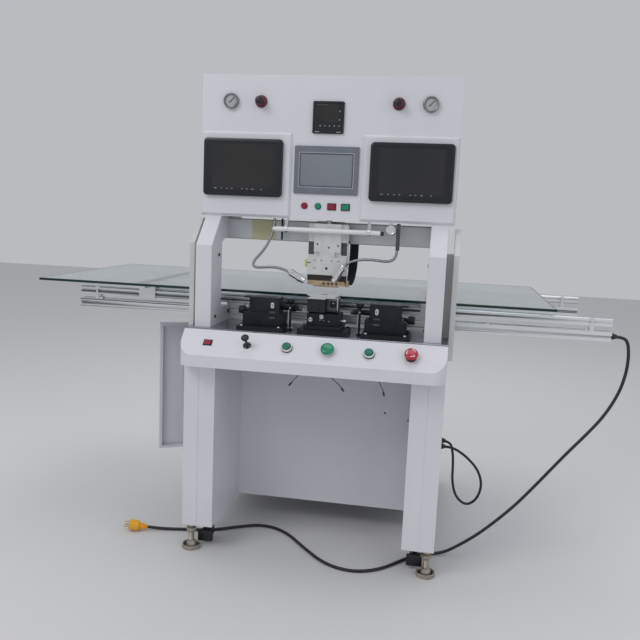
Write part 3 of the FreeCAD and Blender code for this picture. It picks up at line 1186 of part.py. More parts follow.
for side, title in ((-1, "Left"), (1, "Right")):
    plate_left = "stageX + stageNear" if side > 0 else "stageX - stageFar"
    base_parts.append(fuse(title + "StageBase", [
        block(title + "StagePlate", "stageFar - stageNear", "115", "stagePlate", plate_left, "-21", "deckTop"),
        block(title + "StageRail", "stageFar - stageNear - 8", "30", "stageRail", plate_left + " + 4", "34",
              plate_top)]))

# Clamp rods: a dark and a bright rod on one foot, with a hub, a cross pin and a tee on top
for side in (-1, 1):
    tag = str(side + 1)
    centre_x = "stageX + %d * rodOffset" % side
    base_parts.append(fuse("ClampRod" + tag, [
        rod("RodFoot" + tag, "8", "4", centre_x, "rodY", "deckTop"),
        rod("RodStem" + tag, "rodRadius", "rodTop - deckTop", centre_x, "rodY", "deckTop"),
        rod("BrightStem" + tag, "2", "hubZ + 2 - deckTop", centre_x + " - 5.5", "rodY", "deckTop"),
        rod("RodHub" + tag, "hubRadius + 1.5", "hubHigh", centre_x, "rodY", "hubZ"),
        cone("RodTee" + tag, "5", "teeWide / 2", "9", centre_x, "rodY", "rodTop - 2"),
        rod("RodCap" + tag, "teeWide / 2", "8", centre_x, "rodY", "rodTop + 7"),
        rod("RodPin" + tag, "1.4", "18", centre_x + " - 9", "rodY", "deckTop + 9", "X")]))
node("stage_bases", group("StageBases", base_parts))

# Support bar: the white bar under the bonding blade on its two risers
bar = prism("SupportBar", "XZ", [
    ("headX - supportHalfWide", "supportTop"), ("headX - supportHalfWide", "supportTop - 2"),
    ("headX - supportHalfWide + supportBevel", "supportTop - supportBarHigh"),
    ("headX + supportHalfWide - supportBevel", "supportTop - supportBarHigh"),
    ("headX + supportHalfWide", "supportTop - 2"), ("headX + supportHalfWide", "supportTop")],
    "supportBarFront", "supportBarBack - supportBarFront")
riser_z = "supportBodyTop + 4 + slideGap"
riser_high = "supportTop - supportBarHigh - supportBodyTop - 4 - slideGap"
node("support_bar", fuse("SupportHead", [
    bar, block("RiserLeft", "56", "70", riser_high, "headX - 40", "10", riser_z),
    block("RiserRight", "37", "50", riser_high, "headX + 16", "30", riser_z),
    rod("GuidePinLeft", "pinGuide", "20", "headX - pinSpread", "48", "supportBodyTop - 14"),
    rod("GuidePinRight", "pinGuide", "20", "headX + pinSpread", "48", "supportBodyTop - 14")]))


# Camera stages: a column and a wider slide block on the rail, a micrometer at the side, the lens barrel inwards
def camera_stage(side, title):
    def from_centre(near_edge, far_edge):
        return "stageX + (%s)" % near_edge if side > 0 else "stageX - (%s)" % far_edge

    slide_z = plate_top + " + slideGap"
    column_far = "columnNear + stageColumn"
    rail_slot = block(title + "RailSlot", "stageFar + 40", "30 + 2 * slideGap", "stageRail + slideGap",
                      from_centre("stageNear - 20", "stageFar + 20"), "34 - slideGap", plate_top)
    column = block(title + "Column", "stageColumn", "56", "stageTop - deckTop - stagePlate - slideGap",
                   from_centre("columnNear", column_far), "20", slide_z)
    slide_block = block(title + "SlideBlock", "slideBlockFar - slideBlockNear", "70",
                        "slideBlockTop - deckTop - stagePlate - slideGap",
                        from_centre("slideBlockNear", "slideBlockFar"), "8", slide_z)
    top_plate = block(title + "TopPlate", "116", "46", "5", from_centre("columnNear", "columnNear + 116"), "30",
                      "stageTop - 5")
    name_plate = block(title + "NamePlate", "20", "2", "10", from_centre("152", "172"), "18", "785")
    axis = "X" if side > 0 else "-X"
    neck = rod(title + "MicrometerNeck", "7", "22", "stageX + %d * (columnNear + stageColumn - 1)" % side, "51",
               "micrometerZ", axis)
    thimble = rod(title + "Thimble", "micrometerRadius", "micrometerLong",
                  "stageX + %d * (slideBlockFar + 3)" % side, "51", "micrometerZ", axis)
    lens = rod(title + "Lens", "lensRadius", "columnNear - lensNear", "stageX + %d * lensNear" % side, "lensY",
               "lensZ", axis)
    lens_hood = rod(title + "LensHood", "lensRadius + 2.5", "14", "stageX + %d * (lensNear + 18)" % side, "lensY",
                    "lensZ", axis)
    solid = fuse(title + "StageSolid", [column, slide_block, top_plate, name_plate, neck, thimble, lens,
                                        lens_hood])
    return cut(title + "Stage", solid, [rail_slot])


node("left_camera_stage", camera_stage(-1, "Left"))
node("right_camera_stage", camera_stage(1, "Right"))

# Levelling feet: a domed disc, a stem and two nuts under each corner
feet = []
for side in (-1, 1):
    for row, foot_y in enumerate(("footFrontY", "footRearY")):
        tag = "%d%d" % (side + 1, row)
        disc = turned("FootDisc" + tag, [
            ("0", "0"), ("footRadius - 2", "0"), ("footRadius", "2"), ("footRadius", "footDisc - 2"),
            ("footRadius - 3", "footDisc"), ("stemRadius + 7", "footDisc + 5"), ("stemRadius + 5", "footDisc + 12"),
            ("stemRadius", "footDisc + 13"), ("stemRadius", "legBottom"), ("0", "legBottom")])
        place(disc, "%d * footX" % side, foot_y, "0")
        parts = [disc]
        for level, nut_z in enumerate(("legBottom - 11", "legBottom - 26")):
            nut = doc.addObject("Part::Prism", "Nut%s%d" % (tag, level))
            nut.Polygon = 6
            bind(nut, "Circumradius", "nutRadius")
            bind(nut, "Height", "9 + 2 * %d" % (1 - level))
            parts.append(place(nut, "%d * footX" % side, foot_y, nut_z))
        feet.append(fuse("Foot" + tag, parts))
node("levelling_feet", group("LevellingFeet", feet))

# Casters: plate, turntable, two cheeks and an axle, with the wheel trailing behind
forks = []
wheel_rows = {}
wheel_z = "wheelRadius + wheelLift"
cheek_x = "wheelWide / 2 + forkGap"
for row, caster_y in (("front", "casterFrontY"), ("rear", "casterRearY")):
    wheel_rows[row] = []
    for side in (-1, 1):
        tag = "%s%d" % (row, side + 1)
        centre_x = "%d * casterX" % side
        axle_y = "%s + casterTrail" % caster_y
        fork_top = "legBottom - casterPlate - 8"
        pieces = [
            block("CasterPlate" + tag, "casterPlateSide", "casterPlateSide", "casterPlate",
                  centre_x + " - casterPlateSide / 2", caster_y + " - casterPlateSide / 2",
                  "legBottom - casterPlate"),
            rod("CasterRace" + tag, "17", "8 + casterPlate / 2", centre_x, caster_y, fork_top),
            block("CasterCrown" + tag, "2 * (%s) + 2 * forkSheet" % cheek_x, "36", "4",
                  centre_x + " - (%s) - forkSheet" % cheek_x, caster_y + " - 16", fork_top + " - 2"),
            rod("CasterAxle" + tag, "axleRadius", "2 * (%s) + 2 * forkSheet + 4" % cheek_x,
                centre_x + " - (%s) - forkSheet - 2" % cheek_x, axle_y, wheel_z, "X")]
        for cheek in (-1, 1):
            start = centre_x + (" + " + cheek_x if cheek > 0 else " - (%s) - forkSheet" % cheek_x)
            pieces.append(prism("Cheek%s%d" % (tag, cheek + 1), "YZ", [
                (caster_y + " - 16", fork_top + " + 2"), (caster_y + " - 8", fork_top + " - 20"),
                (axle_y + " - 8", wheel_z + " - 6"), (axle_y + " + 8", wheel_z + " - 6"),
                (axle_y + " + 9", wheel_z + " + 12"), (caster_y + " + 20", fork_top + " + 2")],
                start, "forkSheet"))
        forks.append(fuse("Fork" + tag, pieces))
        wheel = turned("Wheel" + tag, [
            ("axleRadius + runningGap", "-wheelWide / 2"), ("8", "-wheelWide / 2"), ("9", "-wheelWide / 2 + 2"),
            ("wheelRadius - 7", "-wheelWide / 2 + 2"), ("wheelRadius - 6", "-wheelWide / 2 + 0.5"),
            ("wheelRadius - 1.5", "-wheelWide / 2 + 0.5"), ("wheelRadius", "-wheelWide / 2 + 3"),
            ("wheelRadius", "wheelWide / 2 - 3"), ("wheelRadius - 1.5", "wheelWide / 2 - 0.5"),
            ("wheelRadius - 6", "wheelWide / 2 - 0.5"), ("wheelRadius - 7", "wheelWide / 2 - 2"),
            ("9", "wheelWide / 2 - 2"), ("8", "wheelWide / 2"), ("axleRadius + runningGap", "wheelWide / 2")])
        wheel.Placement = FreeCAD.Placement(vector(0, 0, 0), TURNS["X"])
        wheel_rows[row].append(place(wheel, centre_x, axle_y, wheel_z))
node("caster_forks", group("CasterForks", forks))
for row in ("front", "rear"):
    node(row + "_caster_wheels", group(row + "Wheels", wheel_rows[row]))

# Side door: a pan with a folded rim and return lips, standing open on its hinge axis
door_front = "-doorWidth - hingeInset"
skin_x = "hingeX - legOuter"
door_outer = block("DoorOuter", "doorPan", "doorWidth", "doorHigh", skin_x, door_front, "doorBottom")
door_hollow = block("DoorHollow", "doorPan", "doorWidth - 2 * sheetWall", "doorHigh - 2 * sheetWall",
                    skin_x + " + sheetWall", door_front + " + sheetWall", "doorBottom + sheetWall")
door_pan = cut("DoorPan", door_outer, [door_hollow])
lip_frame = cut("DoorLipFrame", block("DoorLipBlank", "sheetWall", "doorWidth", "doorHigh",
                                      skin_x + " + doorPan - sheetWall", door_front, "doorBottom"),
                [block("DoorLipOpening", "3 * sheetWall", "doorWidth - 2 * sheetWall - 2 * doorLip",
                       "doorHigh - 2 * sheetWall - 2 * doorLip", skin_x + " + doorPan - 2 * sheetWall",
                       door_front + " + sheetWall + doorLip", "doorBottom + sheetWall + doorLip")])
door_solids = [door_pan, lip_frame]
for index, height in enumerate(("hingeLow", "hingeHigh")):
    barrel = rod("DoorBarrel%d" % index, "hingeBarrel", "hingeLong", "0", "0", height)
    ear = block("DoorEar%d" % index, skin_x + " + sheetWall", "1.4", "hingeLong", "0", "-hingeInset - 0.8", height)
    tab = block("DoorTab%d" % index, "sheetWall", "20", "hingeLong", skin_x + " - sheetWall",
                "-hingeInset - 20", height)
    door_solids += [barrel, ear, tab]
hinge_bores = [rod("DoorBore%d" % index, "hingePin + runningGap", "hingeLong + 20", "0", "0", height + " - 10")
               for index, height in enumerate(("hingeLow", "hingeHigh"))]
lock_hole = rod("LockHole", "lockRadius", "20", skin_x + " - 5", "-lockReach", "lockHeight", "X")
door = cut("SideDoor", fuse("DoorSolid", door_solids), hinge_bores + [lock_hole])


def on_hinge(item):
    """Swing a piece, modelled about the hinge axis with the door closed, to the door's open angle."""
    item.Placement = FreeCAD.Placement(vector(0, 0, 0), FreeCAD.Rotation(vector(0, 0, -1), 1))
    bind(item, "Placement.Rotation.Angle", "doorOpen")
    return item


nodes.append(on_hinge(door))
door.Label = "side_door"
place(door, "-hingeX + shiftX", "doorRear + hingeInset + shiftY", "0")

# Door lock: barrel with its nut, cam and face, and a key ring with two keys that hang on the cam
lock_parts = [
    rod("LockBarrel", "lockRadius", "24", skin_x + " - 3", "-lockReach", "lockHeight", "X"),
    rod("LockFace", "lockRadius + 2.5", "3", skin_x + " - 3", "-lockReach", "lockHeight", "X"),
    rod("LockNut", "lockRadius + 3.5", "6", skin_x + " + sheetWall", "-lockReach", "lockHeight", "X"),
    block("LockCam", "2.5", "14", "34", skin_x + " + 17", "-lockReach - 7", "lockHeight - 7")]
ring_item = doc.addObject("Part::Torus", "KeyRing")
bind(ring_item, "Radius1", "keyRing")
bind(ring_item, "Radius2", "1.1")
aim(ring_item, "Y")
place(ring_item, skin_x + " + 22", "-lockReach - 4", "lockHeight - keyRing + 3")
lock_parts.append(ring_item)
for index, offset in enumerate(("7", "3")):
    bow = rod("KeyBow%d" % index, "9", "2.2", skin_x + " + 22", "-lockReach - " + offset,
              "lockHeight - 2 * keyRing - 4", "Y")
    stem = block("KeyStem%d" % index, "5", "2.2", "26", skin_x + " + 19.5", "-lockReach - " + offset,
                 "lockHeight - 2 * keyRing - 36")
    lock_parts += [bow, stem]
lock = fuse("DoorLock", lock_parts)
nodes.append(on_hinge(lock))
lock.Label = "door_lock"
place(lock, "-hingeX + shiftX", "doorRear + hingeInset + shiftY", "0")

# Strain reliefs: tapered sleeves at the rail beam's end and on the right pedestal
rail_end = value("railLeft") + value("railLength")
lead_z = value("girderBottom") + value("girderHigh") / 2
lead_exit = rail_end + value("glandLong")
side_x = value("legOuter")
glands = []
for index, (gx, gy, gz) in enumerate((("railLeft + railLength", "frontRailY", "girderBottom + girderHigh / 2"),
                                      ("legOuter", "350", "312"), ("legOuter", "384", "322"))):
    radius = "leadRadius" if index == 0 else "hoseRadius"
    sleeve = turned("Sleeve%d" % index, [
        (radius, "0"), ("glandRadius + 3", "0"), ("glandRadius + 3", "5"), ("glandRadius", "6"),
        (radius + " + 1.6", "glandLong"), (radius, "glandLong")])
    sleeve.Placement = FreeCAD.Placement(vector(0, 0, 0), TURNS["X"])
    glands.append(place(sleeve, gx, gy, gz))
node("cord_glands", group("CordGlands", glands))

# Mains lead: from the beam's end down to the floor, under the machine and out to its plug
floor_z = value("leadRadius") + 0.3
lead_points = [
    (rail_end + 1, 215, lead_z), (rail_end + 34, 215, lead_z), (rail_end + 53, 215, lead_z - 12),
    (rail_end + 60, 214, lead_z - 56), (rail_end + 58, 213, lead_z - 112), (rail_end + 42, 212, lead_z - 180),
    (rail_end + 4, 209, lead_z - 256), (rail_end - 42, 207, lead_z - 318), (rail_end - 100, 204, lead_z - 388),
    (rail_end - 189, 196, lead_z - 503), (rail_end - 247, 190, lead_z - 574), (rail_end - 304, 184, lead_z - 632),
    (rail_end - 362, 176, lead_z - 684), (rail_end - 420, 170, lead_z - 726), (430, 158, floor_z),
    (358, 138, floor_z), (300, 70, floor_z), (238, -8, floor_z), (155, -43, floor_z), (65, -12, floor_z),
    (-20, 82, floor_z), (-104, 186, floor_z), (-190, 222, floor_z), (-268, 186, floor_z), (-345, 134, floor_z),
    (-430, 116, floor_z), (-500, 102, floor_z)]
lead = cord("MainsLead", lead_points + [(-540, 90, 9), (-566, 81, 14)], value("leadRadius"))
node("mains_lead", lead)

# Plug: a sleeve, a round body that lies on the floor and three pins
plug_end = vector(-566, 81, 14)
plug_way = vector(-30, -9, 5).normalize()
sleeve_shape = Part.makeCone(value("leadRadius") + 1.5, 12, value("plugNeck"), plug_end, plug_way)
plug_base = plug_end + plug_way * value("plugNeck")
plug_shape = Part.makeCylinder(value("plugRadius") - 3, value("plugLong"), plug_base, plug_way)
for turn in (90, 210, 330):
    side_way = plug_way.cross(vector(0, 0, 1)).normalize()
    up_way = side_way.cross(plug_way).normalize()
    off = side_way * math.cos(math.radians(turn)) * 9 + up_way * math.sin(math.radians(turn)) * 9
    pin_base = plug_base + plug_way * value("plugLong") + off
    plug_shape = plug_shape.fuse(Part.makeCylinder(value("pinRadius"), value("pinLong"), pin_base, plug_way))
plug = doc.addObject("Part::Feature", "MainsPlug")
plug.Shape = plug_shape.fuse(sleeve_shape).removeSplitter()
node("mains_plug", plug)

# Looped hose at the right pedestal, from one strain relief to the other
hose = cord("HoseLoop", [
    (side_x + 1, 350, 312), (side_x + 34, 350, 312), (side_x + 62, 350, 302), (side_x + 98, 350, 278),
    (side_x + 136, 352, 238), (side_x + 154, 355, 184), (side_x + 140, 359, 126), (side_x + 104, 364, 98),
    (side_x + 66, 369, 124), (side_x + 50, 374, 180), (side_x + 50, 379, 238), (side_x + 46, 383, 286),
    (side_x + 34, 384, 322), (side_x + 1, 384, 322)], value("hoseRadius"))
node("hose_loop", hose)

# Three short wires that hang under the console, each with a small connector
wire_solids = []
under = value("consoleBottom")
for index, (route, way) in enumerate((
        ([(-34, -55, under), (-34, -55, 622), (-38, -54, 613), (-47, -54, 604), (-54, -54, 594)], (-3, 0, -4)),
        ([(66, -55, under), (66, -55, 621), (74, -54, 611), (88, -54, 602), (98, -54, 590)], (3, 0, -4)),
        ([(208, -55, under), (208, -55, 621), (213, -54, 610), (220, -54, 600), (224, -54, 588)], (1, 0, -4)))):
    wire = cord("Wire%d" % index, route, value("wireRadius"))
    along = vector(*way).normalize()
    tip = Part.makeCylinder(value("wireTip"), value("wireTipLong"), vector(*route[-1]), along)
    wire_solids.append(wire.Shape.fuse(tip))
    doc.removeObject(wire.Name)
wires = doc.addObject("Part::Feature", "HangingWires")
wires.Shape = Part.makeCompound(wire_solids)
node("hanging_wires", wires)

# Check every object and write one file per piece
doc.recompute()
broken = [item.Name for item in doc.Objects if "Invalid" in item.State or "Error" in item.State]
if broken:
    raise SystemExit("objects that failed: " + ", ".join(broken))
for item in nodes:
    if item.Shape.isNull() or not item.Shape.isValid() or item.Shape.Volume <= 0:
        raise SystemExit("no valid shape: " + item.Label)
os.makedirs("parts", exist_ok=True)
for item in nodes:
    item.Shape.exportStep("parts/" + item.Label + ".step")
whole = FreeCAD.BoundBox()
for item in nodes:
    whole.add(item.Shape.BoundBox)
print(len(nodes), "pieces, corners", [round(v, 1) for v in
      (whole.XMin, whole.YMin, whole.ZMin, whole.XMax, whole.YMax, whole.ZMax)])
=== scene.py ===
import bpy
import bmesh
import json
import math
import numpy as np
from mathutils import Matrix, Vector


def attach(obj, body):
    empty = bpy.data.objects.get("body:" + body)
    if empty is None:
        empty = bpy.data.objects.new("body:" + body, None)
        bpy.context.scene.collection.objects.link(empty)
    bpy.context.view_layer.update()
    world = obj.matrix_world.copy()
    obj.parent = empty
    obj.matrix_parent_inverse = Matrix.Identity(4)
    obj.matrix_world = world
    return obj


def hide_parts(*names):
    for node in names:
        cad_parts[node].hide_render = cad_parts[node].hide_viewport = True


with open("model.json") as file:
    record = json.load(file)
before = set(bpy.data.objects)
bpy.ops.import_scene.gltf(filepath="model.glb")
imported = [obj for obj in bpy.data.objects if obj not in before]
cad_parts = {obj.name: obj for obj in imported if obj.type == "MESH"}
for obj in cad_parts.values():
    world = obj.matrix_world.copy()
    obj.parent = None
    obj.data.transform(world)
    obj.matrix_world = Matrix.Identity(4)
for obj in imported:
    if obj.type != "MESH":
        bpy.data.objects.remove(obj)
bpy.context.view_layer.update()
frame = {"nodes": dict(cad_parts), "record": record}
print("frame loaded:", len(frame["nodes"]), "nodes")

# The machine's own drawing frame: x from its centre plane, y from the posts' front, z from the floor, in mm
drawing = {"centreX": 40.5, "postY": -386.0}


def at(x, y, z):
    # a point of the drawing in metres of the part's frame
    return np.array([x + drawing["centreX"], y + drawing["postY"], z], float) / 1000.0


# Camera, light and floor
photoView = {"place": (380.33, -2177.21, 1109.56), "yaw": 9.508, "pitch": 8.4327, "roll": 2.4752,
             "focalPixels": 733.72, "imageWidth": 640}


def setCamera():
    yaw, pitch, roll = (math.radians(photoView[k]) for k in ("yaw", "pitch", "roll"))
    ahead = np.array([-math.sin(yaw) * math.cos(pitch), math.cos(yaw) * math.cos(pitch), -math.sin(pitch)])
    side = np.array([math.cos(yaw), math.sin(yaw), 0.0])
    up = np.cross(side, ahead)
    right = side * math.cos(roll) + up * math.sin(roll)
    top = up * math.cos(roll) - side * math.sin(roll)
    place = at(*photoView["place"])
    data = bpy.data.cameras.new("photoCamera")
    data.sensor_width = 36.0
    data.lens = 36.0 * photoView["focalPixels"] / photoView["imageWidth"]
    data.clip_end = 60.0
    camera = bpy.data.objects.new("photoCamera", data)
    bpy.context.scene.collection.objects.link(camera)
    camera.matrix_world = Matrix([[right[i], top[i], -ahead[i], place[i]]
                                  for i in range(3)] + [[0, 0, 0, 1]])
    bpy.context.scene.camera = camera


studio = {"sky": (0.94, 0.955, 1.0), "skyStrength": 0.52,
          "lamps": [("keyLight", (-1.9, -2.8, 3.4), 1.8, 38.0, (1.0, 0.99, 0.97)),
                    ("fillLight", (2.8, -2.4, 2.0), 2.4, 13.0, (0.94, 0.97, 1.0)),
                    ("topLight", (0.1, 0.2, 3.7), 2.2, 26.0, (1.0, 1.0, 1.0)),
                    ("backLight", (0.6, 2.9, 3.9), 2.0, 16.0, (0.96, 0.98, 1.0))],
          "floorColour": (0.70, 0.70, 0.70), "floorHalf": 9.0}


def setStudio():
    scene = bpy.context.scene
    world = scene.world or bpy.data.worlds.new("studioSky")
    scene.world = world
    world.use_nodes = True
    sky = [n for n in world.node_tree.nodes if n.type == "BACKGROUND"][0]
    sky.inputs["Color"].default_value = (*studio["sky"], 1.0)
    sky.inputs["Strength"].default_value = studio["skyStrength"]
    for name, place, width, power, colour in studio["lamps"]:
        data = bpy.data.lights.new(name, "AREA")
        data.size = width
        data.energy = power
        data.color = colour
        lamp = bpy.data.objects.new(name, data)
        lamp.location = place
        lamp.rotation_euler = (Vector((0.0, 0.0, 0.75)) - Vector(place)).to_track_quat("-Z", "Y").to_euler()
        scene.collection.objects.link(lamp)
    scene.view_settings.view_transform = "Standard"
    half = studio["floorHalf"]
    mesh = bpy.data.meshes.new("studioFloor")
    mesh.from_pydata([(-half, -half, 0), (half, -half, 0), (half, half, 0), (-half, half, 0)], [],
                     [(0, 1, 2, 3)])
    floor = bpy.data.objects.new("studioFloor", mesh)
    scene.collection.objects.link(floor)
    mesh.materials.append(plainFloor())


# Materials
def newMaterial(name):
    material = bpy.data.materials.new(name)
    material.use_nodes = True
    tree = material.node_tree
    shader = [n for n in tree.nodes if n.type == "BSDF_PRINCIPLED"][0]
    return material, tree, shader


def plainFloor():
    material, tree, shader = newMaterial("plainFloor")
    shader.inputs["Base Color"].default_value = (*studio["floorColour"], 1.0)
    shader.inputs["Roughness"].default_value = 0.9
    return material


def noiseOf(tree, scale, detail=2.0, stretch=(1, 1, 1)):
    # a noise texture on the piece's own coordinates, stretched along an axis for brushed surfaces and for
    # the painted shade streaks of extruded profiles
    where = tree.nodes.new("ShaderNodeTexCoord")
    spread = tree.nodes.new("ShaderNodeMapping")
    spread.inputs["Scale"].default_value = stretch
    noise = tree.nodes.new("ShaderNodeTexNoise")
    noise.inputs["Scale"].default_value = scale
    noise.inputs["Detail"].default_value = detail
    tree.links.new(where.outputs["Object"], spread.inputs["Vector"])
    tree.links.new(spread.outputs["Vector"], noise.inputs["Vector"])
    return noise.outputs["Fac"]


def rangeOf(tree, value, low, high, fromLow=0.3, fromHigh=0.7):
    node = tree.nodes.new("ShaderNodeMapRange")
    for key, number in (("From Min", fromLow), ("From Max", fromHigh), ("To Min", low), ("To Max", high)):
        node.inputs[key].default_value = number
    tree.links.new(value, node.inputs["Value"])
    return node.outputs["Result"]


def rampOf(tree, value, stops):
    node = tree.nodes.new("ShaderNodeValToRGB")
    ramp = node.color_ramp
    while len(ramp.elements) < len(stops):
        ramp.elements.new(0.5)
    for element, (place, colour) in zip(ramp.elements, stops):
        element.position = place
        element.color = (*colour, 1.0)
    tree.links.new(value, node.inputs["Fac"])
    return node.outputs["Color"]


def bumpOf(tree, value, strength, distance):
    node = tree.nodes.new("ShaderNodeBump")
    node.inputs["Strength"].default_value = strength
    node.inputs["Distance"].default_value = distance
    tree.links.new(value, node.inputs["Height"])
    return node.outputs["Normal"]


def finish(name, light, dark, rough, patch, metal=0.0, grain=900.0, bump=0.08, depth=0.0002, coat=0.0,
           stretch=(1, 1, 1), specular=0.5):
    # colour drifts between two tones over large patches, and a fine grain moves the roughness and the normal
    material, tree, shader = newMaterial(name)
    drift = noiseOf(tree, patch, 3.0)
    tree.links.new(rampOf(tree, drift, [(0.32, dark), (0.62, light)]), shader.inputs["Base Color"])
    fine = noiseOf(tree, grain, 2.0, stretch)
    tree.links.new(rangeOf(tree, fine, rough[0], rough[1]), shader.inputs["Roughness"])
    if bump:
        tree.links.new(bumpOf(tree, fine, bump, depth), shader.inputs["Normal"])
    shader.inputs["Metallic"].default_value = metal
    shader.inputs["Coat Weight"].default_value = coat
    shader.inputs["Coat Roughness"].default_value = 0.12
    shader.inputs["Specular IOR Level"].default_value = specular
    return material


def mathOf(tree, kind, first, second=None):
    node = tree.nodes.new("ShaderNodeMath")
    node.operation = kind
    for socket, value in zip(node.inputs, (first, second)):
        if isinstance(value, bpy.types.NodeSocket):
            tree.links.new(value, socket)
        elif value is not None:
            socket.default_value = value
    return node.outputs[0]


def splitOf(tree, vector=None):
    # the three parts of a vector, or of the piece's own place
    node = tree.nodes.new("ShaderNodeSeparateXYZ")
    if vector is None:
        vector = tree.nodes.new("ShaderNodeTexCoord").outputs["Object"]
    tree.links.new(vector, node.inputs["Vector"])
    return node.outputs


def glassFinish(name, tint, rough, weight, edge, rim):
    # clear plate: its upright faces and a strip along its rim take the deep green of a ground edge
    material, tree, shader = newMaterial(name)
    shader.inputs["IOR"].default_value = 1.5
    tree.links.new(rangeOf(tree, noiseOf(tree, 6.0, 4.0), rough[0], rough[1]), shader.inputs["Roughness"])
    geometry = tree.nodes.new("ShaderNodeNewGeometry")
    clear = mathOf(tree, "ABSOLUTE", splitOf(tree, geometry.outputs["True Normal"])["Z"])
    place = splitOf(tree)
    for axis, (middle, half) in zip("XY", rim):
        reach = mathOf(tree, "ABSOLUTE", mathOf(tree, "SUBTRACT", place[axis], middle))
        clear = mathOf(tree, "MULTIPLY", clear, rangeOf(tree, reach, 1.0, 0.0, half - 0.001, half))
    tree.links.new(rampOf(tree, clear, [(0.80, edge), (0.92, tint)]), shader.inputs["Base Color"])
    tree.links.new(rangeOf(tree, clear, 0.0, weight, 0.6, 0.95), shader.inputs["Transmission Weight"])
    return material


def brushed(name, light, dark, rough, axis, metal):
    # long streaks along one axis, as a brush or a drawing die leaves them
    stretch = tuple(0.02 if i == axis else 1.0 for i in range(3))
    return finish(name, light, dark, rough, metal=metal, patch=4.0, grain=420.0, bump=0.05, depth=0.0001,
                  stretch=stretch)


def shadeStreakedProfile(name, light, dark, rough, metal):
    # an extruded profile: streaks of two tones run its whole length; the dark streaks are painted shade,
    # standing in for the shade in its grooves
    material, tree, shader = newMaterial(name)
    streak = noiseOf(tree, 150.0, 1.0, (0.004, 1.0, 1.0))
    tree.links.new(rampOf(tree, streak, [(0.42, dark), (0.53, light)]), shader.inputs["Base Color"])
    tree.links.new(rangeOf(tree, streak, rough[0], rough[1]), shader.inputs["Roughness"])
    tree.links.new(bumpOf(tree, streak, 0.25, 0.0006), shader.inputs["Normal"])
    shader.inputs["Metallic"].default_value = metal
    return material


def ringed(name, light, dark, pitch, rough, metal=1.0):
    # rings across the piece's own length, which its uv map carries in v
    material, tree, shader = newMaterial(name)
    where = tree.nodes.new("ShaderNodeTexCoord")
    wave = tree.nodes.new("ShaderNodeTexWave")
    wave.bands_direction = "Y"
    wave.inputs["Scale"].default_value = pitch
    wave.inputs["Distortion"].default_value = 0.0
    tree.links.new(where.outputs["UV"], wave.inputs["Vector"])
    tree.links.new(rampOf(tree, wave.outputs["Fac"], [(0.05, dark), (0.6, light)]),
                   shader.inputs["Base Color"])
    tree.links.new(bumpOf(tree, wave.outputs["Fac"], 0.7, 0.0006), shader.inputs["Normal"])
    tree.links.new(rangeOf(tree, noiseOf(tree, 300.0), rough[0], rough[1]), shader.inputs["Roughness"])
    shader.inputs["Metallic"].default_value = metal
    return material


white = finish("powderCoatWhite", (0.73, 0.73, 0.775), (0.69, 0.69, 0.735), (0.34, 0.46), patch=3.0,
               grain=650.0, bump=0.10, depth=0.00015, specular=0.45)
plateEdge = finish("sidePlateWarmGrey", (0.66, 0.66, 0.65), (0.61, 0.61, 0.60), (0.38, 0.5), patch=5.0,
                   grain=650.0, bump=0.08, depth=0.00015)
anodised = brushed("anodisedAluminium", (0.82, 0.83, 0.85), (0.74, 0.75, 0.77), (0.26, 0.40), 0, metal=0.75)
# the rails' dark streaks are painted shade standing in for the shade in their grooves
railProfile = shadeStreakedProfile("railProfile", (0.86, 0.87, 0.88), (0.17, 0.175, 0.19), (0.22, 0.36), 0.7)
satinPlate = finish("satinHeadPlate", (0.72, 0.72, 0.715), (0.66, 0.66, 0.655), (0.38, 0.52), metal=0.5,
                    patch=40.0, grain=1500.0)
greySteel = finish("greySteel", (0.44, 0.45, 0.47), (0.36, 0.37, 0.39), (0.34, 0.5), metal=0.8, patch=30.0)
brightSteel = finish("brightSteel", (0.74, 0.74, 0.75), (0.62, 0.62, 0.64), (0.14, 0.28), metal=1.0,
                     patch=60.0)
chrome = finish("chromePlate", (0.86, 0.86, 0.87), (0.78, 0.78, 0.80), (0.05, 0.12), metal=1.0, patch=80.0,
                bump=0.02)
brassBlock = finish("brassHeater", (0.58, 0.46, 0.31), (0.45, 0.35, 0.22), (0.30, 0.46), metal=0.8,
                    patch=60.0, grain=1200.0)
blackOxide = finish("blackOxide", (0.012, 0.013, 0.020), (0.007, 0.008, 0.012), (0.36, 0.52), metal=0.2,
                    patch=40.0, grain=1400.0, specular=0.35)
blackPlastic = finish("blackPlastic", (0.020, 0.020, 0.022), (0.012, 0.012, 0.014), (0.32, 0.46),
                      patch=30.0, grain=1800.0, bump=0.14)
bezelPlastic = finish("monitorBezel", (0.011, 0.012, 0.017), (0.007, 0.008, 0.012), (0.28, 0.40),
                      patch=20.0, grain=1800.0)
greyPlastic = finish("panelGreyPlastic", (0.175, 0.19, 0.225), (0.145, 0.16, 0.195), (0.36, 0.48),
                     patch=20.0, grain=1500.0)
touchGlass = finish("touchGlass", (0.225, 0.25, 0.275), (0.205, 0.23, 0.255), (0.10, 0.16), patch=6.0,
                    bump=0.0)
screenGlass = finish("screenGlass", (0.024, 0.024, 0.024), (0.017, 0.018, 0.018), (0.07, 0.12), patch=6.0,
                     bump=0.0)
keyMark = finish("keyMark", (0.55, 0.56, 0.58), (0.48, 0.49, 0.5), (0.4, 0.5), patch=50.0, bump=0.0)
whitePlastic = finish("whitePlastic", (0.78, 0.79, 0.80), (0.72, 0.73, 0.74), (0.25, 0.36), patch=40.0)
redPlastic = finish("redPlastic", (0.50, 0.014, 0.036), (0.40, 0.010, 0.026), (0.20, 0.32), patch=50.0,
                    coat=0.3)
deepRed = finish("deepRedRing", (0.17, 0.004, 0.024), (0.12, 0.003, 0.016), (0.28, 0.4), patch=50.0)
crimson = finish("crimsonButton", (0.30, 0.008, 0.045), (0.23, 0.006, 0.032), (0.22, 0.34), patch=50.0,
                 coat=0.2)
darkGreen = finish("startButtonGreen", (0.004, 0.15, 0.095), (0.003, 0.11, 0.07), (0.22, 0.34), patch=50.0)
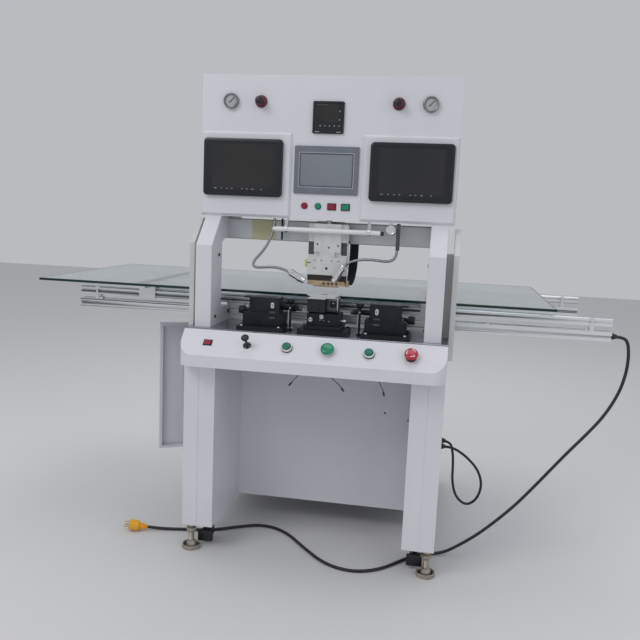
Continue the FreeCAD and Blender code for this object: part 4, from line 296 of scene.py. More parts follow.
greenPlastic = finish("greenPlastic", (0.006, 0.27, 0.145), (0.004, 0.20, 0.11), (0.20, 0.32), patch=50.0,
                      coat=0.3)
orangePlastic = finish("orangePlug", (0.90, 0.46, 0.03), (0.82, 0.38, 0.02), (0.32, 0.44), patch=30.0)
insulation = finish("insulatingLaminate", (0.035, 0.022, 0.018), (0.016, 0.010, 0.009), (0.5, 0.7),
                    patch=60.0, grain=1000.0, bump=0.2)
lampGlass = finish("frostedLampTube", (0.78, 0.80, 0.80), (0.72, 0.74, 0.74), (0.22, 0.3), patch=12.0)
cordRubber = finish("cordRubber", (0.020, 0.020, 0.022), (0.013, 0.013, 0.014), (0.42, 0.58), patch=40.0,
                    grain=1200.0)
sleeveCloth = ringed("braidedSleeve", (0.020, 0.020, 0.028), (0.007, 0.007, 0.010), 90.0, (0.6, 0.8),
                     metal=0.0)
flexHose = ringed("flexibleSteelHose", (0.42, 0.43, 0.45), (0.17, 0.175, 0.185), 80.0, (0.22, 0.36))
dialFace = finish("dialFace", (0.47, 0.48, 0.49), (0.42, 0.43, 0.44), (0.4, 0.5), patch=60.0, bump=0.0)
# flat black for needles, printed ticks and a ring round the touch glass, and painted shade laid into holes,
# slots and screw sockets
inkAndHoleShade = finish("inkAndHoleShade", (0.02, 0.02, 0.02), (0.015, 0.015, 0.015), (0.5, 0.6), patch=60.0, bump=0.0)
yellowTape = finish("yellowWire", (0.55, 0.60, 0.16), (0.45, 0.50, 0.10), (0.4, 0.5), patch=60.0)
glassRim = (at(-130, 0, 0)[0], 0.849), (at(0, 497, 0)[1], 0.369)  # middle and half width along x and along y
plateGlass = glassFinish("platformGlass", (0.68, 0.80, 0.83), (0.02, 0.06), 0.92, (0.006, 0.030, 0.024),
                         glassRim)
wheelRubber = finish("wheelPolyamide", (0.022, 0.022, 0.024), (0.012, 0.012, 0.013), (0.4, 0.55),
                     patch=60.0)
gaugeRing = finish("darkNickelRing", (0.30, 0.30, 0.32), (0.22, 0.22, 0.24), (0.20, 0.32), metal=0.9,
                   patch=60.0)
darkBracket = finish("darkBracket", (0.10, 0.105, 0.115), (0.07, 0.074, 0.082), (0.34, 0.48), metal=0.5,
                     patch=40.0)
footPaint = finish("footZinc", (0.46, 0.42, 0.36), (0.34, 0.30, 0.25), (0.3, 0.48), metal=0.7, patch=40.0)
print("materials made")


# Surfaces
def newPiece(name):
    return {"name": name, "points": [], "faces": [], "marks": [], "materials": [], "uv": [], "count": 0}


def addRings(piece, rings, material, capStart=True, capEnd=True):
    # surface carried over a stack of rings: rings[k, j] is point j of ring k, and each cap is one flat face
    rings = np.asarray(rings, float)
    steps, count = rings.shape[:2]
    if material not in piece["materials"]:
        piece["materials"].append(material)
    mark = piece["materials"].index(material)
    first = piece["count"]
    grid = first + np.arange(steps * count).reshape(steps, count)
    nextCol = np.roll(grid, -1, axis=1)
    quads = np.stack([grid[:-1], nextCol[:-1], nextCol[1:], grid[1:]], axis=-1)
    faces = [tuple(q) for q in quads.reshape(-1, 4).tolist()]
    if capStart:
        faces.append(tuple(grid[0][::-1].tolist()))
    if capEnd:
        faces.append(tuple(grid[-1].tolist()))
    lengths = np.linalg.norm(np.diff(rings.mean(1), axis=0), axis=1)
    along = np.concatenate([[0.0], np.cumsum(lengths)])
    around = np.arange(count) / count
    piece["uv"].append(np.stack(np.meshgrid(around, along), axis=-1).reshape(-1, 2))
    piece["points"].append(rings.reshape(-1, 3))
    piece["faces"] += faces
    piece["marks"] += [mark] * len(faces)
    piece["count"] += steps * count


sharpAngle = {"pieces": math.radians(38), "frame": math.radians(35), "rounded": math.radians(40)}


def donePiece(piece, body, replaces=()):
    # one mesh object with its doubles merged and its faces turned outwards
    mesh = bpy.data.meshes.new(piece["name"])
    points = np.concatenate(piece["points"])
    mesh.from_pydata(points.tolist(), [], piece["faces"])
    for material in piece["materials"]:
        mesh.materials.append(material)
    mesh.polygons.foreach_set("material_index", np.array(piece["marks"], np.int32))
    layer = mesh.uv_layers.new(name="along")
    corners = np.zeros(len(mesh.loops), np.int32)
    mesh.loops.foreach_get("vertex_index", corners)
    layer.data.foreach_set("uv", np.concatenate(piece["uv"])[corners].reshape(-1).astype(np.float32))
    tidy = bmesh.new()
    tidy.from_mesh(mesh)
    bmesh.ops.remove_doubles(tidy, verts=tidy.verts, dist=1e-6)
    bmesh.ops.recalc_face_normals(tidy, faces=tidy.faces)
    tidy.to_mesh(mesh)
    tidy.free()
    mesh.shade_smooth()
    mesh.set_sharp_from_angle(angle=sharpAngle["pieces"])
    item = bpy.data.objects.new(piece["name"], mesh)
    bpy.context.scene.collection.objects.link(item)
    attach(item, body)
    if replaces:
        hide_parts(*replaces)
    return item


def seatAt(origin, right, up, out):
    # a local frame on a surface: right and up lie in it, out stands on it
    return np.asarray(origin, float), np.array([right, up, out], float)


def onSeat(seat, local):
    # local points in mm on a seat, as points of the part in metres
    return seat[0] + (np.asarray(local, float) @ seat[1]) / 1000.0


def turnOf(count):
    # angles in even steps round a full turn
    return np.arange(count) * 2 * np.pi / count


def circle(radius, count):
    # a ring of points at one radius
    turn = turnOf(count)
    return np.stack([np.cos(turn), np.sin(turn)], axis=-1) * radius


def roundedBox(width, height, corner, count=8):
    # outline of a rectangle whose corners are quarter circles, centred on zero
    corner = max(min(corner, width / 2 - 0.01, height / 2 - 0.01), 0.01)
    turn = np.linspace(0, np.pi / 2, count)
    parts = []
    for k, (sx, sy) in enumerate(((1, 1), (-1, 1), (-1, -1), (1, -1))):
        angle = turn + k * np.pi / 2
        centre = np.array([sx * (width / 2 - corner), sy * (height / 2 - corner)])
        parts.append(centre + corner * np.stack([np.cos(angle), np.sin(angle)], axis=-1))
    return np.concatenate(parts)


def stack(layers):
    # flat outlines, each at its height, as the rings of one surface
    return np.array([np.column_stack([ring, np.full(len(ring), height)]) for ring, height in layers])


def lathe(seat, profile, count, centre=(0.0, 0.0)):
    # rings of the profile's radii and heights about the seat's outward axis
    return onSeat(seat, stack((circle(max(radius, 0.02), count) + centre, height)
                              for radius, height in profile))


def fluted(seat, layers):
    # rings whose radius swings round the axis: each layer has its radii and its height
    rings = []
    for reach, height in layers:
        turn = turnOf(len(reach))
        rings.append((np.stack([reach * np.cos(turn), reach * np.sin(turn)], axis=-1), height))
    return onSeat(seat, stack(rings))


def boxStack(seat, layers, centre=(0.0, 0.0), count=8):
    # rings of rounded rectangles, each with its width, height, corner and level over the seat
    return onSeat(seat, stack((roundedBox(width, high, corner, count) + centre, level)
                              for width, high, corner, level in layers))


def addTurned(piece, material, seat, profile, count=48, centre=(0.0, 0.0), caps=True):
    # a turned form: the profile carried round the seat's outward axis
    addRings(piece, lathe(seat, profile, count, centre), material, caps, caps)


def addPlate(piece, material, seat, width, height, low, high, corner, bevel, centre=(0.0, 0.0)):
    # a plate with rounded corners and softened edges between two heights over the seat
    steps = ((bevel, low), (0.0, low + bevel), (0.0, high - bevel), (bevel * 0.35, high - bevel * 0.3),
             (bevel, high))
    layers = [(width - 2 * inset, height - 2 * inset, corner - inset * 0.5, level)
              for inset, level in steps]
    addRings(piece, boxStack(seat, layers, centre), material)


def smoothLine(points, samples):
    # uniform cubic B-spline through a route's control points, with its ends held
    p = np.asarray(points, float)
    p = np.concatenate([[2 * p[0] - p[1]], p, [2 * p[-1] - p[-2]]])
    spans = len(p) - 3
    t = np.linspace(0, spans - 1e-6, samples)
    k = t.astype(int)
    u = (t - k)[:, None]
    return ((1 - u) ** 3 * p[k] + (3 * u ** 3 - 6 * u ** 2 + 4) * p[k + 1]
            + (-3 * u ** 3 + 3 * u ** 2 + 3 * u + 1) * p[k + 2] + u ** 3 * p[k + 3]) / 6


def carried(line, outline, twist):
    # a flat outline carried along a line, turned so that it stays square to it
    line = np.asarray(line, float)
    way = np.gradient(line, axis=0)
    way /= np.linalg.norm(way, axis=1)[:, None]
    side = np.cross(way, np.asarray(twist, float))
    side /= np.linalg.norm(side, axis=1)[:, None]
    up = np.cross(side, way)
    outline = np.asarray(outline, float)
    if outline.ndim == 2:
        outline = np.repeat(outline[None], len(line), axis=0)
    return line[:, None] + (outline[:, :, :1] * side[:, None] + outline[:, :, 1:] * up[:, None]) / 1000.0


panelOut = ((1, 0, 0), (0, 0, 1), (0, -1, 0))


def panelSeat(x, z, y=92.0):
    return seatAt(at(x, y, z), *panelOut)


def upSeat(x, y, z):
    return seatAt(at(x, y, z), (1, 0, 0), (0, 1, 0), (0, 0, 1))


def sideSeat(x, y, z, way):
    return seatAt(at(x, y, z), (0, way, 0), (0, 0, 1), (way, 0, 0))


consoleSlope = {"front": -100.0, "back": -27.0, "low": 665.0, "high": 733.0, "first": -317.0,
                "pitch": 123.4}
slopeAngle = math.atan2(consoleSlope["high"] - consoleSlope["low"],
                        consoleSlope["back"] - consoleSlope["front"])


def slopeSeat(index):
    x = consoleSlope["first"] + index * consoleSlope["pitch"]
    c, s = math.cos(slopeAngle), math.sin(slopeAngle)
    middle = at(x, (consoleSlope["front"] + consoleSlope["back"]) / 2,
                (consoleSlope["low"] + consoleSlope["high"]) / 2)
    return seatAt(middle, (1, 0, 0), (0, c, s), (0, -s, c))


def capScrew(piece, seat, radius, high, material, socket=None):
    # cylinder head with a softened rim; when a socket colour is given, a thin dark hexagon laid on its face
    # is painted shade standing in for its sunk socket
    addTurned(piece, material, seat, [(radius, 0), (radius, high * 0.8), (radius * 0.92, high)], 24)
    if socket is not None:
        addTurned(piece, socket, seat, [(radius * 0.5, high + 0.02), (radius * 0.5, high + 0.12)], 6)


# Finishes of the frame's own pieces
def zoned(name, inner, outer, axis, edge, until=None):
    # two coats on one piece, parted at one plane or two across an axis of the part's frame
    material, tree, shader = newMaterial(name)
    place = splitOf(tree)[axis]
    side = rangeOf(tree, place, 0.0, 1.0, edge - 0.001, edge + 0.001)
    if until is not None:
        other = rangeOf(tree, place, 1.0, 0.0, until - 0.001, until + 0.001)
        side = mathOf(tree, "MAXIMUM", side, other)
    fine = noiseOf(tree, 500.0)
    mix = tree.nodes.new("ShaderNodeMix")
    mix.data_type = "RGBA"
    for socket, colour in ((6, inner["colour"]), (7, outer["colour"])):
        shade = tuple(c * 0.92 for c in colour)
        tree.links.new(rampOf(tree, fine, [(0.35, shade), (0.65, colour)]), mix.inputs[socket])
    tree.links.new(side, mix.inputs[0])
    tree.links.new(mix.outputs[2], shader.inputs["Base Color"])
    for key, target in (("metal", "Metallic"), ("rough", "Roughness")):
        tree.links.new(rangeOf(tree, side, inner[key], outer[key], 0.0, 1.0), shader.inputs[target])
    tree.links.new(bumpOf(tree, fine, 0.06, 0.00015), shader.inputs["Normal"])
    return material


beamCoat = zoned("beamCoats", {"colour": (0.56, 0.55, 0.36), "metal": 0.0, "rough": 0.5},
                 {"colour": (0.62, 0.64, 0.66), "metal": 0.5, "rough": 0.38}, "X", at(-168, 0, 0)[0],
                 until=at(-249, 0, 0)[0])
barCoat = zoned("supportBarCoats", {"colour": (0.018, 0.019, 0.022), "metal": 0.3, "rough": 0.4},
                {"colour": (0.62, 0.63, 0.64), "metal": 0.2, "rough": 0.3}, "Z", 0.8445)
nodeFinish = {
    "white": (white, ["left_pedestal", "right_pedestal", "knee_panel", "base_back_cover", "console_shell",
                      "posts", "head_cabinet", "front_panel", "side_door"]),
    "shade": (plateEdge, ["side_plates"]),
    "beam": (beamCoat, ["cross_beam"]),
    "deck": (brushed("deckPlate", (0.36, 0.38, 0.43), (0.27, 0.285, 0.32), (0.14, 0.24), 0, metal=0.85),
             ["deck_plate"]),
    "rails": (railProfile, ["guide_rails", "rail_beams"]),
    "blocks": (anodised, ["rail_brackets", "carriages"]),
    "steel": (greySteel, ["head_guide", "joystick_gimbal", "joystick_stem"]),
    "head": (satinPlate, ["head_slide"]),
    "brass": (brassBlock, ["heater_block"]),
    "laminate": (insulation, ["insulator_block"]),
    "oxide": (blackOxide, ["stage_bases", "left_camera_stage", "right_camera_stage", "caster_forks"]),
    "needle": (inkAndHoleShade, ["left_gauge_needle", "right_gauge_needle"]),
    "wheel": (wheelRubber, ["front_caster_wheels", "rear_caster_wheels"]),
    "glass": (plateGlass, ["glass_platform"]),
    "bar": (barCoat, ["support_bar"]),
    "red": (crimson, ["red_push_button", "red_rocker", "console_rocker"]),
    "green": (greenPlastic, ["green_push_button", "green_rocker"]),
    "gland": (cordRubber, ["cord_glands"]),
}
for material, names in nodeFinish.values():
    for name in names:
        node = frame["nodes"][name]
        node.data.materials.clear()
        node.data.materials.append(material)


# Sheet, plates and blocks take a small radius on their edges, so a merged copy of each stands for it
edgeRadii = {"left_pedestal": 0.8, "right_pedestal": 0.8, "knee_panel": 0.6, "console_shell": 1.4,
             "side_plates": 1.2, "head_cabinet": 1.0, "front_panel": 0.4, "cross_beam": 1.5,
             "side_door": 0.7, "head_slide": 0.6, "head_guide": 0.6, "insulator_block": 0.4,
             "heater_block": 0.4, "stage_bases": 0.7, "left_camera_stage": 0.7, "right_camera_stage": 0.7,
             "support_bar": 0.5, "carriages": 0.7, "rail_brackets": 0.5, "caster_forks": 0.5,
             "console_rocker": 0.8, "red_rocker": 0.8, "green_rocker": 0.8}
bodyOf = {node: body for body, names in frame["record"]["behaviour"]["bodies"].items() for node in names}


def softCopy(name, radius):
    # merged copy of a frame piece whose flat faces are whole again and whose edges are rounded
    source = frame["nodes"][name]
    mesh = source.data.copy()
    mesh.name = name + "Soft"
    shape = bmesh.new()
    shape.from_mesh(mesh)
    bmesh.ops.remove_doubles(shape, verts=shape.verts, dist=2e-6)
    bmesh.ops.dissolve_limit(shape, angle_limit=math.radians(0.6), verts=shape.verts, edges=shape.edges)
    shape.to_mesh(mesh)
    shape.free()
    mesh.shade_smooth()
    mesh.set_sharp_from_angle(angle=sharpAngle["frame"])
    item = bpy.data.objects.new(name + "Soft", mesh)
    bpy.context.scene.collection.objects.link(item)
    bevel = item.modifiers.new("edgeRadius", "BEVEL")
    bevel.width = radius / 1000.0
    bevel.segments = 2
    bevel.limit_method = "ANGLE"
    bevel.angle_limit = sharpAngle["rounded"]
    bevel.harden_normals = True
    bevel.use_clamp_overlap = True
    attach(item, bodyOf[name])
    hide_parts(name)
    return item


for name, radius in edgeRadii.items():
    softCopy(name, radius)
print("frame pieces finished")

# Monitors, touch screen and controller
monitorShape = {"x": 261.5, "z": 1234.0, "width": 252.0, "height": 176.0, "front": 70.0, "back": 84.0,
                "corner": 12.0, "edge": 11.0, "foot": 17.0, "sunk": 1.0, "screenInset": (34.0, 14.0),
                "keys": ((-86, 8.0), (-66, 4.5), (-48, 4.5), (-32, 4.5), (0, 4.5), (16, 4.5), (34, 8.0),
                         (62, 4.5)), "keyHigh": 1.4, "keyUp": 22.0}


def makeMonitors():
    piece = newPiece("monitorPair")
    m = monitorShape
    glassHigh = m["height"] - m["edge"] - m["foot"]
    middle = (0.0, (m["foot"] - m["edge"]) / 2)
    deep = m["back"] - m["front"]
    floor = deep - m["sunk"]
    for side in (-1, 1):
        seat = panelSeat(side * m["x"], m["z"], m["back"])
        case = [(m["width"] - 2 * inset, m["height"] - 2 * inset, m["corner"] - inset * 0.6, level)
                for inset, level in ((0.0, 0.0), (0.0, deep - 3.0), (0.9, deep - 1.0), (3.0, deep))]
        well = [(m["width"] - 2 * m["edge"] - 2 * inset, glassHigh - 2 * inset, 3.0, level)
                for inset, level in ((0.0, deep), (0.8, floor))]
        addRings(piece, np.concatenate([boxStack(seat, case, count=10), boxStack(seat, well, middle, 10)]),
                 bezelPlastic)
        screen = (m["width"] - 2 * m["edge"] - m["screenInset"][0], glassHigh - m["screenInset"][1], 1.0)
        addRings(piece, boxStack(seat, [(*screen, floor), (*screen, floor + 0.12)], middle), screenGlass)
        for key, wide in m["keys"]:
            addPlate(piece, keyMark, seat, wide, m["keyHigh"], floor, floor + 0.15, 0.4, 0.05,
                     (key, m["keyUp"] - m["height"] / 2))
    return donePiece(piece, "machine", ["monitors"])


touchShape = {"z": 1234.0, "width": 200.0, "height": 145.0, "thick": 7.0, "glassWidth": 158.0,
              "glassHigh": 93.0, "caseDeep": 34.0}


def makeTouchScreen():
    piece = newPiece("touchPanel")
    t = touchShape
    seat = panelSeat(0.0, t["z"])
    wide, high, top = t["width"], t["height"], t["thick"]
    layers = [(wide, high, 3.0, 0.0), (wide, high, 3.0, top - 1.6), (wide - 3, high - 3, 3.0, top)]
    layers += [(t["glassWidth"] + grow, t["glassHigh"] + grow, 1.5, top - drop)
               for grow, drop in ((8.0, 0.0), (7.0, 0.5), (2.0, 0.5), (1.2, 1.2))]
    addRings(piece, boxStack(seat, layers), greyPlastic)
    addPlate(piece, touchGlass, seat, t["glassWidth"], t["glassHigh"], top - 1.3, top - 1.0, 1.0, 0.1)
    for outer, inner, base, colour in ((13.0, 10.6, top, keyMark), (7.0, 4.6, top - 0.5, inkAndHoleShade)):
        steps = ((inner, -0.3), (outer, -0.3), (outer, 0.2), (inner, 0.2), (inner, -0.3))
        layers = [(t["glassWidth"] + grow, t["glassHigh"] + grow, 2.5, base + level)
                  for grow, level in steps]
        addRings(piece, boxStack(seat, layers), colour, False, False)
    addPlate(piece, greyPlastic, seat, wide - 11, high - 11, -t["caseDeep"], 0.2, 2.0, 1.0)
    return donePiece(piece, "machine", ["touch_screen"])


controllerShape = {"z": 1392.0, "width": 96.0, "thick": 8.0, "caseDeep": 60.0, "window": (68.0, 54.0),
                   "windowUp": 11.0, "feet": (-33.0, 33.0),
                   "marks": [(3.4, 2.2, -24.0 + 14.5 * k, -25.5) for k in range(5)]
                   + [(2.4, 4.0, 35.0, y) for y in (18.0, -7.0)]}


def makeController():
    piece = newPiece("heatController")
    c = controllerShape
    seat = panelSeat(0.0, c["z"])
    side, top = c["width"], c["thick"]
    sunk = top - 0.8
    windowWide, windowHigh = c["window"]
    layers = [(side - 2 * inset, side - 2 * inset, 4.0, level)
              for inset, level in ((0.0, 0.0), (0.0, top - 2.0), (1.6, top))]
    layers += [(windowWide + 10 + grow, windowHigh + 22 + grow, 2.0, level)
               for grow, level in ((6.0, top), (5.0, sunk))]
    addRings(piece, boxStack(seat, layers), bezelPlastic)
    addPlate(piece, screenGlass, seat, windowWide, windowHigh, sunk, sunk + 0.3, 1.5, 0.1,
             (-3.0, c["windowUp"]))
    for wide, high, x, y in c["marks"]:
        addPlate(piece, keyMark, seat, wide, high, sunk, sunk + 0.4, 0.8, 0.1, (x, y))
    for x in c["feet"]:
        addPlate(piece, keyMark, seat, 14.0, 1.6, top, top + 0.15, 0.4, 0.05, (x, -43.5))
    addPlate(piece, blackPlastic, seat, side - 7, side - 7, -c["caseDeep"], 0.2, 2.0, 1.0)
    return donePiece(piece, "machine", ["temperature_controller"])


makeMonitors()
makeTouchScreen()
makeController()
print("screens made")

# Gauges and regulators
gaugeShape = {"x": 307.0, "z": 1436.0, "radius": 24.0, "proud": 13.0, "dial": 7.0, "ticks": 26}


def makeGauges():
    piece = newPiece("gaugePair")
    g = gaugeShape
    r, h, dial = g["radius"], g["proud"], g["dial"]
    case = [(r - 4, -25), (r - 4, 0), (r - 1.0, 0), (r, 1.0), (r, h - 3.5), (r - 0.6, h - 1.4),
            (r - 1.8, h - 0.3), (r - 3.0, h), (r - 4.2, h - 0.6), (r - 4.8, h - 2.0), (r - 5.0, dial + 0.2)]
    face = [(r - 5.0, dial + 0.2), (1.3, dial + 0.2), (1.3, dial - 3)]
    for side in (-1, 1):
        seat = panelSeat(side * g["x"], g["z"])
        addRings(piece, lathe(seat, case, 64), gaugeRing, True, False)
        addRings(piece, lathe(seat, face, 64), dialFace, False, True)
        for k in range(g["ticks"]):
            turn = math.radians(225 - 270 * k / (g["ticks"] - 1))
            long, wide = (3.4, 0.5) if k % 5 == 0 else (1.8, 0.3)
            c, s = math.cos(turn), math.sin(turn)
            inner, outer = r - 6.4 - long, r - 6.4
            flat = np.array([[inner, -wide], [outer, -wide], [outer, wide], [inner, wide]])
            tick = flat @ np.array([[c, s], [-s, c]])
            addRings(piece, onSeat(seat, stack((tick, dial + up) for up in (0.2, 0.32))), inkAndHoleShade)
    return donePiece(piece, "machine", ["pressure_gauges"])


needleShape = {"tail": -10.0, "tip": 15.0, "wide": 1.7, "hub": 2.6, "level": 8.0, "turn": 45.0}


def makeNeedles():
    n = needleShape
    c, s = math.cos(math.radians(n["turn"])), math.sin(math.radians(n["turn"]))
    for side, title in ((-1, "left"), (1, "right")):
        piece = newPiece(title + "Needle")
        seat = seatAt(at(side * gaugeShape["x"], 92.0, gaugeShape["z"]), (c, 0, s), (-s, 0, c), (0, -1, 0))
        middle = (n["tail"] + n["tip"]) / 2
        addPlate(piece, inkAndHoleShade, seat, n["tip"] - n["tail"], n["wide"], n["level"], n["level"] + 0.8, 0.6,
                 0.1, (middle, 0.0))
        addTurned(piece, gaugeRing, seat, [(n["hub"], n["level"] - 0.3), (n["hub"], n["level"] + 1.4),
                                           (n["hub"] - 0.8, n["level"] + 1.8)], 32)
        node = title + "_gauge_needle"
        donePiece(piece, bodyOf[node], [node])


regulatorShape = {"x": 212.0, "z": 1436.0, "ring": 17.5, "cap": 12.5, "long": 34.0, "flutes": 12}


def makeRegulators():
    k = regulatorShape
    ring, cap, long = k["ring"], k["cap"], k["long"]
    collar = [(5, -14), (5, 3.3), (ring - 1.5, 3.3), (ring, 4.6), (ring, 9.5), (ring - 1.2, 11.4),
              (ring - 4.5, 12.6), (cap - 1.5, 14.2), (cap - 2, 15.5)]
    layers = ((cap - 1.2, 15.0, 0.0), (cap, 16.0, 0.9), (cap, long - 2.6, 0.9),
              (cap - 0.7, long - 1.0, 0.6), (cap - 2.4, long, 0.0), (0.5, long + 0.4, 0.0))
    dip = (0.5 + 0.5 * np.cos(k["flutes"] * turnOf(96))) ** 3
    for side, title in ((-1, "left"), (1, "right")):
        piece = newPiece(title + "RegulatorKnob")
        seat = panelSeat(side * k["x"], k["z"])
        addTurned(piece, deepRed, seat, collar, 64)
        rings = fluted(seat, [(radius - depth * dip, high) for radius, high, depth in layers])
        addRings(piece, rings, blackPlastic)
        donePiece(piece, title + "_knob", [title + "_regulator_knob"])


makeGauges()
makeNeedles()
makeRegulators()
print("gauges and regulators made")

# Push buttons, rims and the joystick
controlShape = {"panelRow": 1124.0, "panelPitch": 43.0, "rim": 10.5, "cap": 7.8, "startRim": 15.9,
                "startCap": 13.2, "startHigh": 11.0, "startStem": 10.8, "mushroom": 20.0, "neck": 11.0,
                "rocker": (22.0, 16.0), "frame": 2.5}


def addRim(piece, material, seat, outer, inner, high):
    # a low ring with a rounded lip round a control
    profile = [(inner, 0), (outer, 0), (outer, high - 1.2), (outer - 0.5, high - 0.35), (outer - 1.4, high),
               (inner + 0.8, high), (inner, high - 0.7), (inner, 0)]
    addTurned(piece, material, seat, profile, 56, caps=False)


def buttonSeat(index):
    return panelSeat((index - 1.5) * controlShape["panelPitch"], controlShape["panelRow"])


def makeRims():
    piece = newPiece("controlRims")
    c, r = controlShape, regulatorShape
    for side in (-1, 1):
        addRim(piece, blackPlastic, panelSeat(side * r["x"], r["z"]), r["ring"] + 1.5, 6.0, 3.0)
    for index, colour in ((0, crimson), (1, greenPlastic)):
        addRim(piece, colour, buttonSeat(index), c["rim"], c["cap"] + 0.3, 3.0)
    wide, high = c["rocker"]
    full = 2 * c["frame"]
    steps = ((0.6, 0.0), (full + 0.6, 0.0), (full + 0.6, 1.9), (full - 0.8, 3.0), (1.2, 3.0), (0.6, 2.6),
             (0.6, 0.0))
    layers = [(wide + grow, high + grow, 1.2, level) for grow, level in steps]
    for seat in (buttonSeat(2), buttonSeat(3), slopeSeat(0)):
        addRings(piece, boxStack(seat, layers), blackPlastic, False, False)
    addRim(piece, blackPlastic, slopeSeat(1), 12.8, 11.0, 1.6)
    inner, outer, high = c["startCap"] + 0.3, c["startRim"], c["startHigh"]
    collar = [(inner, 4.0), (outer, 4.0), (outer, high - 1.2), (outer - 0.5, high - 0.3),
              (outer - 1.2, high), (inner + 0.5, high), (inner, high - 0.6), (inner, 4.0)]
    for index in (2, 4):
        addRim(piece, blackPlastic, slopeSeat(index), outer + 0.8, inner, 4.1)
        addTurned(piece, whitePlastic, slopeSeat(index), collar, 56, caps=False)
    addRim(piece, whitePlastic, slopeSeat(3), c["neck"] + 4, c["neck"] + 0.3, 3.0)
    addRim(piece, blackPlastic, slopeSeat(5), c["neck"] + 5, c["neck"] + 0.3, 5.0)
    socket = [(11, -18), (16, -18), (16, -2), (11, -2), (11, -18)]
    addTurned(piece, greySteel, slopeSeat(1), socket, caps=False)
    return donePiece(piece, "machine", ["control_bezels"])


def makeCaps():
    c = controlShape
    r, stem = c["startCap"], c["startStem"]
    for index, title in ((2, "left"), (4, "right")):
        piece = newPiece("startCap%d" % index)
        addTurned(piece, darkGreen, slopeSeat(index), [
            (stem, -12), (stem, 4.4), (r - 0.4, 4.6), (r, 5.0), (r, 12.6), (r - 0.5, 13.8), (r - 1.6, 14.5),
            (r * 0.5, 14.9), (0.3, 15.0)], 56)
        donePiece(piece, title + "_start_cap", [title + "_start_button"])
    for index, high, colour, neck, node, body, slot in (
            (3, 20.0, greenPlastic, whitePlastic, "mushroom_button", "mushroom_head", "green_plastic"),
            (5, 24.0, redPlastic, blackPlastic, "emergency_stop", "stop_head", "red_plastic")):
        piece = newPiece("mushroomCap%d" % index)
        r, n = c["mushroom"], c["neck"]
        seat = slopeSeat(index)
        addTurned(piece, neck, seat, [(n, -14), (n, high - 10.5), (n + 3, high - 10.2)], 56)
        profile = [(n, 10.9), (r - 1.4, 10.9), (r - 0.2, 10.0), (r, 8.5), (r, 5.5), (r - 0.6, 3.4),
                   (r - 2.2, 1.7), (r - 5.0, 0.6), (r * 0.5, -0.2), (0.3, -0.4)]
        addTurned(piece, colour, seat, [(radius, high - drop) for radius, drop in profile], 72)
        if colour is redPlastic:
            addStopArrows(piece, seat, high, r)
        donePiece(piece, body, [node])


def addStopArrows(piece, seat, high, radius):
    # three arc arrows that lie on the domed cap and show the way it turns free
    half = np.where(np.arange(14) < 10, 1.0, np.interp(np.arange(14), [10, 13], [2.6, 0.05]))
    middle = radius * 0.66
    for k in range(3):
        turn = math.radians(20 + 120 * k) + np.linspace(0, math.radians(66), 14)
        way = np.stack([np.cos(turn), np.sin(turn)], axis=-1)
        ring = np.concatenate([(middle - half)[:, None] * way, ((middle + half)[:, None] * way)[::-1]])
        level = np.interp(np.linalg.norm(ring, axis=1), [0, radius * 0.5, radius - 5.0, radius - 2.2],
                          [high + 0.4, high + 0.2, high - 0.6, high - 1.7])
        layers = [np.column_stack([ring, level + lift]) for lift in (0.0, 0.25)]
        addRings(piece, onSeat(seat, np.array(layers)), whitePlastic)


joystickShape = {"bellows": 7.0, "folds": 13, "foldHigh": 1.1, "stem": 4.0, "knob": 12.0, "knobUp": 38.0,
                 "knobHigh": 8.0}


def makeJoystick():
    piece = newPiece("joystickLever")
    j = joystickShape
    seat = slopeSeat(1)
    wave = [(j["bellows"] - 0.28 * k + (0.7 if k % 2 else -0.1), j["foldHigh"] * k)
            for k in range(j["folds"])]
    addTurned(piece, cordRubber, seat, [(3, -20), (3, -2), (6, -1)] + wave + [(3.0, 14.5)])
    addTurned(piece, blackPlastic, seat, [(j["stem"] + 0.4, 12), (j["stem"], 24), (j["stem"] + 0.6, 33)],
              32)
    knob = [(j["knob"] * math.cos(a), j["knobUp"] + j["knobHigh"] * math.sin(a))
            for a in np.linspace(-1.25, np.pi / 2, 22)]
    addTurned(piece, blackPlastic, seat, knob)
    return donePiece(piece, "stick", ["joystick", "joystick_stem"])


makeRims()
makeCaps()
makeJoystick()
print("controls made")

# Work lamp
lampShape = {"y": 88.0, "z": 1049.0, "left": -159.0, "right": 178.0, "radius": 8.0,
             "clips": (-118.0, 142.0), "clipWide": 10.0, "disc": (208.0, 1061.0),
             "hanger": (-141.0, 130.0, 1014.0), "hangerLong": 67.8}


